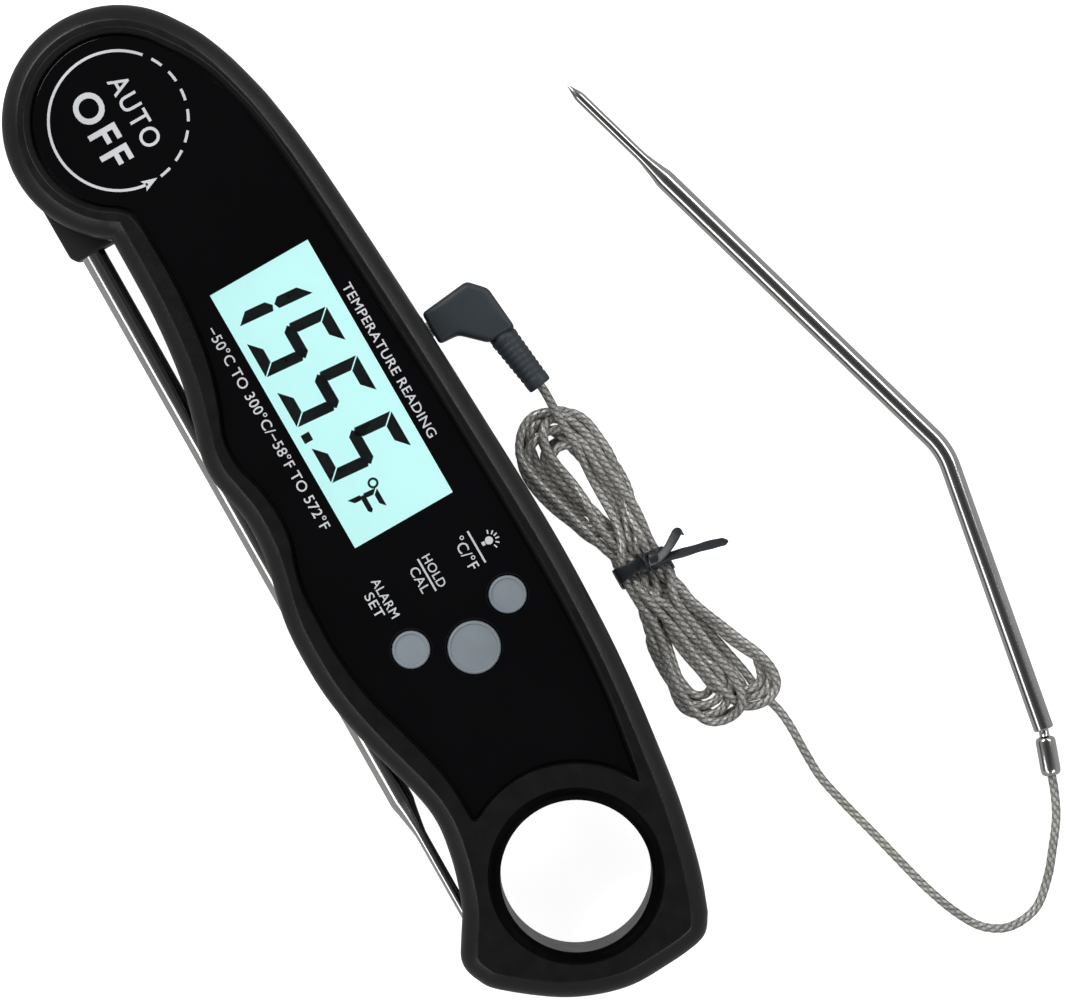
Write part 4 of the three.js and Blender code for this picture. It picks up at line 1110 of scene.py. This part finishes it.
def make_back_cover():
    """The lower shell: a rounded back with screw wells, a bayonet opening and thumb grooves."""
    outline = back_outline()
    shape = Shape()
    edge = rounding(BACK_ROUNDING, 5)[::-1] + [(0, BACK_TOP)]
    outer = [shape.loop(inset(outline, d), e) for d, e in edge]
    hole = RING_HOLE_RADIUS + 0.2
    ring = [
        ring_loop(shape, radius, z)
        for radius, z in ((hole + 0.5, 0), (hole + 0.2, 0.1), (hole, 0.5), (hole, BACK_TOP))
    ]
    shape.wall(outer)
    shape.wall(ring)
    shape.cap(outer[0], ring[0])
    shape.cap(outer[-1], ring[-1])
    cover = put("back_cover", shape, CASING)
    sweep_z = (CAP_TOP, BACK_TOP + 1)
    x, y, _ = middle("battery_cell")
    through_floor = (-1, FLOOR_TOP + 1)
    cuts = [
        drum(0, 0, HEAD_SEAT_RADIUS, sweep_z, 120),
        slab(rectangle((-40, 1), (-40, 40)), sweep_z),
        slab(rectangle((-40, 15.1), (-40, -9)), sweep_z),
        slab(rectangle((110, 137.4), (-30, -12.3)), (CAP_TOP + 0.6, BACK_TOP + 1)),
        slab(cavity_outline(), (FLOOR_TOP, BACK_TOP + 1)),
        drum(0, 0, PIVOT_RADIUS, (FLOOR_TOP, BACK_TOP)),
        drum(0, 0, 9.3, (2.6, BACK_TOP)),
        drum(x, y, COVER_RADIUS + FIT, through_floor, 96),
        side_bore(JACK_X, JACK_Z, 1.75, (15, 30)),
        side_bore(JACK_X, JACK_Z, 2.6, (23.3, 30)),
        lug_wedges(x, y, LUG_RADIUS + FIT, LUG_WIDTH + 4, COVER_TURN, through_floor),
    ]
    cut(cover, *cuts)
    posts = [drum(px, py, 3.2, (FLOOR_TOP - 0.1, BACK_TOP)) for px, py in post_places()]
    cut(cover, *posts, operation="UNION")
    wells = []
    well, mouth = SCREW_WELL_RADIUS, SCREW_WELL_RADIUS + 0.5
    for px, py in screw_places():
        profile = [(-1, 0), (-1, mouth), (0.01, mouth), (0.5, well), (2.7, well), (2.7, 0)]
        wells.append(upright(profile, px, py))
        wells.append(drum(px, py, SCREW_HOLE_RADIUS, (0, BACK_TOP + 1), 24))
    wells += [slab(round_corners(rectangle((x0, x0 + 1.1), (-4, 13)), 0.5), (-1, 0.45)) for x0 in GROOVES_X]
    cut(cover, *wells)
    belongs(even_normals(cover), "case", "casing", "back_shell")


def lug_wedges(x, y, radius, width, turn, z):
    """Three wedges of a width in degrees, turned from where the cover's lugs rest."""
    wedges = []
    for angle in (0, 120, 240):
        edge = arc((x, y), radius, angle + turn + width / 2, angle + turn - width / 2, 8)
        wedges.append(slab(np.vstack([edge, [(x, y)]]), z))
    return joined(*wedges)


def make_panel():
    """The glossy inset panel, with holes for the window and the keys, and the window's pane."""
    panel = put("glossy_panel", slab(panel_outline(), (PANEL_BOTTOM, PANEL_TOP), 0.22, 0, 3), PANEL)
    z = PANEL_TOP
    cuts = [slab(box_outline(WINDOW_LOW, WINDOW_HIGH, FIT / 2), (PANEL_BOTTOM - 1, z + 1))]
    for name in BUTTON_NAMES:
        x, y, radius = button_place(name)
        hole = radius + 0.22
        cuts.append(upright([
            (PANEL_BOTTOM - 1, 0), (PANEL_BOTTOM - 1, hole), (z - 0.25, hole), (z + 0.1, hole + 0.3),
            (z + 1, 0),
        ], x, y))
    cut(panel, *cuts)
    belongs(even_normals(panel), "case", "panel", "front_panel")
    pane = slab(box_outline(WINDOW_LOW, WINDOW_HIGH), (PANEL_BOTTOM, PANEL_TOP - 0.05), 0.08, 0, 2)
    window = put("window_pane", pane, CLEAR)
    belongs(window, "case", "window", "display_window")


def make_button(name):
    """A soft grey cap with a raised rim round a shallow dish."""
    x, y, r = button_place(name)
    node = f"button_{name}"
    foot, top = low(node)[2], high(node)[2]
    cap = upright([
        (foot, 0), (foot, r + 0.9), (foot + 0.7, r + 0.9), (foot + 0.7, r), (top - 0.42, r),
        (top - 0.2, r - 0.05), (top - 0.06, r - 0.15), (top, r - 0.3), (top - 0.03, r - 0.4),
        (top - 0.2, r - 0.5), (top - 0.22, r - 0.62), (top - 0.12, r * 0.5), (top - 0.08, 0),
    ], x, y, 72)
    belongs(put(f"key_{name}", cap, BUTTON), f"{name}_key", "button_grey", node)


def make_screw(node):
    """A pan head with a cross recess."""
    x, y = middle(node)[:2]
    z, top = low(node)[2], high(node)[2]
    head = put(f"{node}_detailed", upright([
        (z + 0.12, 0), (z, 1.1), (z + 0.12, 1.6), (z + 0.45, 1.98), (z + 0.8, 2.1), (z + 1.5, 2.1),
        (z + 1.5, 1.1), (top - 0.6, 1.1), (top, 0.3), (top, 0),
    ], x, y, 32), POLISHED)
    cross = [
        slab(rectangle((x - half_x, x + half_x), (y - half_y, y + half_y)), (z - 1, z + 0.8))
        for half_x, half_y in ((1.25, 0.27), (0.27, 1.25))
    ]
    belongs(cut(head, *cross), "case", "polished_steel", node)


def make_battery_cover():
    """The bayonet cover: a coin slot with rounded ends, a stepped edge and a ring of grip ribs."""
    x, y, _ = middle("battery_cell")
    z0, z1 = low("battery_cover")[2], high("battery_cover")[2]
    r = COVER_RADIUS
    disc = put("coin_cover", upright([
        (z0 + 0.25, 0), (z0 + 0.25, 8.9), (z0, 9.2), (z0, r - 0.45), (z0 + 0.13, r - 0.13), (z0 + 0.45, r),
        (z1, r), (z1, r - COVER_RIM), (1.9, r - COVER_RIM), (1.9, 0),
    ], x, y, 96), CASING)
    rim = drum(x, y, r - COVER_RIM, (0, 5), 96)
    lugs = put("lugs", lug_wedges(x, y, LUG_RADIUS, LUG_WIDTH, 0, (FLOOR_TOP + FIT, z1)), CASING)
    cut(lugs, rim)
    lug_shape = shape_from([tuple(v.co / MM) for v in lugs.data.vertices], lugs.data.polygons)
    bpy.data.objects.remove(lugs)
    cut(disc, lug_shape, operation="UNION")
    slot = rounded_rectangle((x - 7.5, x + 7.5), (y - 0.9, y + 0.9), 0.88)
    ribs = []
    for angle in range(0, 360, 12):
        place = arc((x, y), 10.35, angle, angle, 1)[0]
        ribs.append(drum(*place, 0.32, (z0 - 1, z0 + 0.3), 12))
    cut(disc, slab(slot, (z0 - 1, z0 + 0.8)), joined(*ribs))
    belongs(even_normals(disc), "battery_door", "casing", "battery_cover")


# ---- Folding probe -------------------------------------------------------------------------------

def make_hub():
    """The turning hub, with a boss that holds the folding probe and has grip ribs on its end."""
    z = (low("probe_hub")[2], high("probe_hub")[2])
    start = math.degrees(math.atan2(-math.sqrt(HUB_RADIUS**2 - BOSS_X**2), BOSS_X))
    end = math.degrees(math.atan2(BOSS_Y, math.sqrt(HUB_RADIUS**2 - BOSS_Y**2)))
    disc = arc((0, 0), HUB_RADIUS, start + 360, end, 120)
    corner = arc((BOSS_X - BOSS_CORNER, BOSS_Y + BOSS_CORNER), BOSS_CORNER, -90, 0, 8)
    outline = np.vstack([disc, corner])[::-1]
    hub = put("hub", slab(outline, z, 0.35, 0.35, 3), HUB)
    bore = lathe([(0, 0), (0, PROBE_BORE), (20, PROBE_BORE), (20, 0)])
    bore = moved(bore, (PROBE_START - FIT, PROBE_Y, PROBE_Z), (1, 0, 0))
    magnet = middle("hub_magnet")
    grips = [
        slab(rectangle((x, x + 0.5), (BOSS_Y - 0.3, BOSS_Y + 0.25)), (z[0] + 0.8, z[1] - 0.8))
        for x in (4.5, 6, 7.5, 9, 10.5)
    ]
    past = z[1] + 1
    cut(
        hub, drum(0, 0, PIVOT_RADIUS, (0, past)), drum(0, 0, SEAL_SEAT[0], (SEAL_SEAT[1], past)), bore,
        drum(magnet[0], magnet[1], MAGNET_SEAT[0], (MAGNET_SEAT[1], past)), *grips,
    )
    belongs(even_normals(hub), "folding_probe", "hub_plastic", "probe_hub")


def make_folding_tube():
    """A hollow tube with a swaged cone and a ground point."""
    r, thin, wall = PROBE_RADIUS, PROBE_TIP_RADIUS, 0.45
    start, end = PROBE_START, PROBE_END
    profile = [
        (end - 2.4, 0), (end - 2.4, thin - wall), (115.8, thin - wall), (110.5, r - wall), (start, r - wall),
        (start, r), (109.9, r), (110.5, r - 0.04), (111.6, r - 0.3), (114.6, thin + 0.2),
        (115.8, thin + 0.03), (116.8, thin), (end - 3.2, thin), (end - 2.6, thin - 0.05), (end - 0.25, 0.16),
        (end - 0.05, 0.07), (end, 0),
    ]
    tube = lathe([(x - start, radius) for x, radius in profile], 64)
    direction = (math.cos(PROBE_LEAN), math.sin(PROBE_LEAN), 0)
    tube = moved(tube, (start, PROBE_Y, PROBE_Z), direction)
    belongs(put("folding_tube", tube, PROBE_STEEL, sharp=25), "folding_probe", "probe_steel", "probe_tube")


# ---- Wired probe and plug ------------------------------------------------------------------------

def wired_turn():
    """The angle that the wired probe turns through at its bend."""
    ahead, onward = np.subtract(WIRED_BEND, WIRED_TIP), np.subtract(WIRED_END, WIRED_BEND)
    return math.atan2(ahead[1], ahead[0]) - math.atan2(onward[1], onward[0])


def bent(shape):
    """Bends a shape, whose length runs along +X from the probe's tip, onto the probe's centre line."""
    a, b, c = (np.array(p, float) for p in (WIRED_TIP, WIRED_BEND, WIRED_END))
    ahead, onward = unit(b - a), unit(c - b)
    first_angle = math.atan2(ahead[1], ahead[0])
    turn = wired_turn()
    setback = WIRED_BEND_RADIUS * math.tan(turn / 2)
    straight = np.linalg.norm(b - a) - setback
    curve = WIRED_BEND_RADIUS * turn
    arc_start = a + ahead * straight
    centre = arc_start + np.array((ahead[1], -ahead[0])) * WIRED_BEND_RADIUS

    def at(s):
        if s <= straight:
            return a + ahead * s, first_angle
        if s >= straight + curve:
            past = s - straight - curve
            return b + onward * (setback + past), first_angle - turn
        angle = first_angle - (s - straight) / WIRED_BEND_RADIUS
        return centre + np.array((-math.sin(angle), math.cos(angle))) * WIRED_BEND_RADIUS, angle

    points = []
    for along, side, up in shape.points:
        place, angle = at(along)
        x, y = place + np.array((-math.sin(angle), math.cos(angle))) * side
        points.append((x, y, WIRED_RADIUS + up))
    shape.points = points
    return shape


def wired_length():
    """The wired tube's length along its centre line."""
    turn = wired_turn()
    legs = math.dist(WIRED_TIP, WIRED_BEND) + math.dist(WIRED_BEND, WIRED_END)
    return legs - 2 * WIRED_BEND_RADIUS * math.tan(turn / 2) + WIRED_BEND_RADIUS * turn


def make_wired_tube():
    """A thinner tube than the folding one, with the same cone and point, bent once."""
    r, thin, wall = WIRED_RADIUS, WIRED_TIP_RADIUS, 0.4
    total = wired_length()
    bend = np.linspace(70, 95, 51)  # where the tube needs close rings to bend smoothly
    profile = [
        (0, 0), (0.05, 0.07), (0.25, 0.16), (2.3, thin - 0.07), (2.9, thin), (15.2, thin),
        (16.2, thin + 0.03), (17.2, thin + 0.16), (19.6, r - 0.22), (20.5, r - 0.04), (21.1, r),
        *[(x, r) for x in bend], (total - 0.2, r), (total, r - 0.15), (total, r - wall),
        *[(x, r - wall) for x in bend[::-1]], (20.5, r - wall), (16, thin - wall), (3.0, thin - wall),
        (3.0, 0),
    ]
    tube = put("wired_tube", bent(lathe(profile, 56)), PROBE_STEEL, sharp=25)
    belongs(tube, "wired_lead", "probe_steel", "wired_probe_tube")


def make_ferrule():
    """A turned sleeve over the cord's end, with a neck into the tube."""
    start, end = np.array(FERRULE_START), np.array(FERRULE_END)
    length = math.dist(start, end)
    r = WIRED_RADIUS
    sleeve = lathe([
        (1.0, 0), (1.0, 0.73), (FIT, 0.73), (0.38, r * 0.72), (0.6, r * 0.88), (0.95, r * 0.97), (1.4, r),
        (length - 0.75, r), (length - 0.4, r * 0.95), (length - 0.15, r * 0.8), (length, r * 0.55),
        (length + 0.1, r * 0.5), (length + NECK, r * 0.48), (length + NECK, 0),
    ], 48)
    direction = (*unit(end - start), 0)
    sleeve = put("ferrule", moved(sleeve, (*start, r), direction), PROBE_STEEL, sharp=40)
    belongs(sleeve, "wired_lead", "polished_steel", "cable_ferrule")


def make_plug():
    """The right-angle plug's moulded shell and its ribbed strain relief."""
    outline = round_corners(np.array(PLUG_OUTLINE)[::-1], 0.7)
    shell = slab(outline, (JACK_Z - PLUG_HALF_HEIGHT, JACK_Z + PLUG_HALF_HEIGHT), 1.0, 1.0, 4)
    body = put("plug_shell", shell, PLUG_SLATE, sharp=40)
    belongs(even_normals(body), "wired_lead", "plug_slate", "plug_body")
    profile = [(-1.2, 0), (-1.2, 2.1), (0, 2.1), (0.2, 2.2)]
    for k in range(RELIEF_RIBS):
        at = 0.9 + k * (RELIEF_LENGTH - 2.0) / RELIEF_RIBS
        r = 2.2 - 0.3 * at / RELIEF_LENGTH
        profile += [(at, r), (at + 0.12, r - 0.09), (at + 0.34, r - 0.11), (at + 0.5, r - 0.01)]
    profile += [(RELIEF_LENGTH - 0.3, 1.9), (RELIEF_LENGTH - 0.08, 1.8), (RELIEF_LENGTH, 1.6)]
    profile += [(RELIEF_LENGTH, 0.78), (RELIEF_LENGTH - 0.6, 0.72), (RELIEF_LENGTH - 0.6, 0)]
    direction = (math.cos(RELIEF_TURN), math.sin(RELIEF_TURN), 0)
    relief = moved(lathe(profile, 40), (*RELIEF_START, JACK_Z), direction)
    relief = put("ribbed_relief", relief, PLUG_SLATE, sharp=50)
    belongs(relief, "wired_lead", "plug_slate", "plug_relief")
    return body, relief


def make_tie(top):
    """A plastic-coated twist tie: a band round the waist, a twisted knot on top and two tails."""
    x, y = WAIST
    half_y, half_z = WAIST_HALF + 1.0, (top + 0.5 - 0.42) / 2
    mid_z = 0.42 + half_z
    angles = np.radians(np.linspace(0, 360, 72, endpoint=False))
    ring = []
    for a in angles:
        reach = (abs(math.cos(a)) ** 4 + abs(math.sin(a)) ** 4) ** -0.25
        drift = 0.9 * math.sin(a)
        side, up = half_y * reach * math.cos(a), half_z * reach * math.sin(a)
        ring.append((x - 0.3 - drift, y + side, mid_z + up))
    ribbon = round_corners(rectangle((-1.0, 1.0), (-0.2, 0.2))[::-1], 0.18, 3)
    band = sweep(np.array(ring), ribbon, across=(1, 0, 0), closed=True)
    second = np.array(ring) + (0.25, 0, 0.12)
    second[:, 0] += 1.3 * np.cos(angles)
    narrow = round_corners(rectangle((-0.7, 0.7), (-0.18, 0.18))[::-1], 0.15, 3)
    wrap = sweep(second, narrow, across=(1, 0, 0), closed=True)
    z = top + 0.95
    curl = []
    for a in np.radians(np.linspace(0, 560, 60)):
        curl.append((x - 0.5 + 1.05 * math.cos(a), y + 0.6 + a * 0.19, z + 0.1 + 0.42 * math.sin(a)))
    knot = sweep(spline(curl, 60), narrow)
    bight = [
        (x - 0.9 + 1.35 * math.sin(a), y - 0.6 + a * 0.25, z + 0.05 + 0.35 * math.cos(a))
        for a in np.radians(np.linspace(20, 520, 60))
    ]
    second_knot = sweep(spline(bight, 60), narrow)
    long_tail = spline([
        (x - 0.7, y + 0.8, z + 0.3), (x - 0.2, y + 3.0, z + 0.35), (x + 0.6, y + 6.2, z - 0.4),
        (x + 1.3, y + 9.0, z - 1.8), (x + 1.9, y + 11.2, z - 3.0), (x + 2.6, y + 13.4, z - 3.9),
    ], 60)
    short_tail = spline([
        (x - 0.2, y + 1.2, z + 0.2), (x - 0.6, y + 3.4, z + 0.5), (x - 1.2, y + 5.0, z + 0.35),
        (x - 2.0, y + 6.4, z - 0.1), (x - 2.5, y + 7.4, z - 0.5), (x - 1.6, y + 7.9, z - 0.5),
    ], 60)
    tails = []
    for tail, width in ((long_tail, 1.0), (short_tail, 0.95)):
        length = length_of(tail)
        section = ribbon * (0.78 * width)
        tails.append(sweep(
            tail, section, across=(0.9, 0.2, 0.45),
            radius_at=lambda s, _, length=length: (
                min(1.0, max(0.1, (length - s) / 0.7)) ** 0.5 * (1 + 0.06 * math.sin(1.3 * s))
            ),
        ))
    tie = put("tie", joined(band, wrap, knot, second_knot, *tails), TIE, sharp=50)
    belongs(tie, "wired_lead", "tie_plastic", "twist_tie")
    return tie


# ---- Display and printing ------------------------------------------------------------------------

def bar(a, b, width, z):
    """A flat line from a to b, with barely pointed ends."""
    a, b = np.array(a, float), np.array(b, float)
    ahead = unit(b - a)
    side = np.array((-ahead[1], ahead[0])) * width / 2
    tip = ahead * width * 0.01
    return slab(np.array([a, a + tip + side, b - tip + side, b, b - tip - side, a + tip - side]), z)


def make_digit(x0, x1, y0, y1, lit, width, z):
    """A seven-segment figure. lit names its segments from a, the top, round to f, and g in the middle."""
    t, gap = width, SEGMENT_GAP
    h = y1 - y0
    w = x1 - x0 - SEGMENT_LEAN * h
    m, half = h / 2, width / 2
    outlines = {
        "a": [(gap, h), (w - gap, h), (w - t - gap, h - t), (t + gap, h - t)],
        "b": [
            (w, h - gap), (w, m + gap + half * 0.4), (w - half, m + gap), (w - t, m + gap + half),
            (w - t, h - t - gap),
        ],
        "d": [(t + gap, t), (w - t - gap, t), (w - gap, 0), (gap, 0)],
        "g": [
            (half + gap, m + half), (w - half - gap, m + half), (w - gap, m), (w - half - gap, m - half),
            (half + gap, m - half), (gap, m),
        ],
    }
    outlines["c"] = [(x, h - y) for x, y in outlines["b"]][::-1]
    outlines["f"] = [(w - x, y) for x, y in outlines["b"]][::-1]
    outlines["e"] = [(w - x, h - y) for x, y in outlines["b"]]
    shapes = []
    for name in lit:
        shapes.append(slab(np.array([(x0 + x + SEGMENT_LEAN * y, y0 + y) for x, y in outlines[name]]), z))
    return shapes


def band_arc(centre, radius, width, start, end, z):
    """A flat curved line, from the start angle back to a smaller one."""
    steps = max(2, int(abs(end - start) / 3))
    outer = arc(centre, radius + width / 2, start, end, steps)
    inner = arc(centre, radius - width / 2, end, start, steps)
    return slab(np.vstack([outer, inner]), z)


def make_segments():
    """The reading's figures, its point and its unit."""
    z = (LCD_TOP, LCD_TOP + PRINT_THICKNESS)
    shapes = []
    for x0, x1, y0, y1, lit in (
        (29.9, 36.9, 0.4, 12.6, "bc"), (38.5, 45.6, 0.1, 13.2, "afgcd"), (47.1, 54.4, 0.4, 13.5, "afgcd"),
        (56.9, 64.2, 0.7, 13.8, "afgcd"),
    ):
        shapes += make_digit(x0, x1, y0, y1, lit, 1.75, z)
    shapes.append(slab(rectangle((54.6, 56.0), (0.2, 1.6)), z))
    shapes.append(band_arc((66.1, 6.1), 0.65, 0.35, 360, 0.1, z))
    shapes += make_digit(66.5, 70.2, 1.3, 6.2, "aefg", 0.8, z)
    belongs(put("display_segments", joined(*shapes), SEGMENT), "case", "display")


def letters(words, x, y, z, weight=0.006, spacing=1.06):
    """Words as thin raised printing that fills a box. Newlines aren't used."""
    curve = bpy.data.curves.new("words", "FONT")
    curve.body = words
    curve.offset = weight
    curve.extrude = 0.5
    curve.space_character = spacing
    curve.resolution_u = 5
    source = bpy.data.objects.new("words", curve)
    bpy.context.scene.collection.objects.link(source)
    bpy.context.view_layer.update()
    mesh = bpy.data.meshes.new_from_object(source.evaluated_get(bpy.context.evaluated_depsgraph_get()))
    points = np.array([vertex.co for vertex in mesh.vertices])
    lowest, highest = points.min(0), points.max(0)
    share = (points - lowest) / (highest - lowest)
    points = np.array((x[0], y[0], z[0])) + share * (x[1] - x[0], y[1] - y[0], z[1] - z[0])
    shape = shape_from(points, mesh.polygons)
    bpy.data.objects.remove(source)
    bpy.data.curves.remove(curve)
    bpy.data.meshes.remove(mesh)
    return shape


def make_printing():
    """The words and signs on the panel. Their rules and rings are flat lines."""
    z = (PANEL_TOP, PANEL_TOP + PRINT_THICKNESS)
    rule = 0.3
    shapes = [
        letters("AUTO", (-5.9, 5.9), (1.4, 4.5), z, 0.008, 1.15),
        letters("OFF", (-6.2, 5.9), (-5.2, -0.5), z, 0.02, 1.2),
        letters("TEMPERATURE READING", (38.2, 64.6), (16.7, 18.2), z),
        letters("−50°C TO 300°C/−58°F TO 572°F", (33.9, 68.6), (-4.2, -2.5), z),
        letters("°C/°F", (79.6, 84.9), (12.1, 13.9), z),
        letters("HOLD", (79.5, 84.8), (6.8, 8.2), z), letters("CAL", (80.2, 84.3), (4.2, 5.7), z),
        letters("ALARM", (78.8, 85.3), (-1.6, -0.2), z), letters("SET", (80.2, 84.2), (-3.6, -2.1), z),
        bar((79.5, 14.8), (84.9, 14.8), rule, z), bar((79.4, 6.25), (84.9, 6.25), rule, z),
        band_arc((0, 0.1), 10.5, 0.42, -5, 130 - 360, z),
        slab(np.array([(9.6, -1.6), (10.35, 0.9), (11.3, -1.5), (10.4, -1.1)]), z),
        drum(82.3, 16.9, 0.62, z, 16), slab(rectangle((82.0, 82.6), (15.7, 16.2)), z),
    ]
    for angle in (20, 50, 80, 105, 130, 160):
        ends = [arc((82.3, 16.9), radius, angle, angle, 1)[0] for radius in (1.0, 1.6)]
        shapes.append(bar(*ends, 0.22, z))
    for angle in (117, 99.5, 82, 64.5, 47, 30, 12.5):
        shapes.append(band_arc((0, 0.1), 10.5, 0.42, angle + 5, angle - 5, z))
    belongs(put("panel_printing", joined(*shapes), INK), "case", "panel")


# ---- CAD nodes that stay as they are -------------------------------------------------------------

KEPT = (
    (GLOW, "display", ("lcd_glass",)),
    (CLEAR, "diffuser", ("lcd_backlight",)),
    (BOARD, "board", ("circuit_board",)),
    (RUBBER, "seal_rubber", ("lcd_connector", "hub_seal", "plug_insulator")),
    (COMPONENT, "component", ("controller_chip", "buzzer", "jack_socket", "reed_switch")),
    (COMPONENT, "component", [f"switch_{name}" for name in BUTTON_NAMES]),
    (POLISHED, "polished_steel", ("jack_collar", "battery_cell", "plug_sleeve", "plug_tip", "hub_magnet")),
    (POLISHED, "polished_steel", ("pivot_post", "friction_washer", "retaining_ring")),
    (BRASS, "contact_brass", ("battery_clip_positive", "battery_spring_negative")),
    (BRASS, "contact_brass", ("probe_sensor", "wired_probe_sensor")),
)


def paint_kept_nodes():
    for material, slot, nodes in KEPT:
        for node in nodes:
            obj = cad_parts[node]
            obj.data.materials.clear()
            obj.data.materials.append(material)


# ---- Assembly ------------------------------------------------------------------------------------

make_camera()
make_studio()
cord, cord_line = make_cord()
waist = cord_line[np.abs(cord_line[:, 0] - WAIST[0]) < TIE_HALF_WIDTH]
tie = make_tie(waist[:, 2].max() + CORD_DIAMETER / 2)
plug, relief = make_plug()
make_ferrule()
make_wired_tube()
make_folding_tube()
make_hub()
make_front_cover()
make_back_cover()
make_panel()
for button_name in BUTTON_NAMES:
    make_button(button_name)
for screw_node in SCREW_NODES:
    make_screw(screw_node)
make_battery_cover()
make_segments()
make_printing()
paint_kept_nodes()
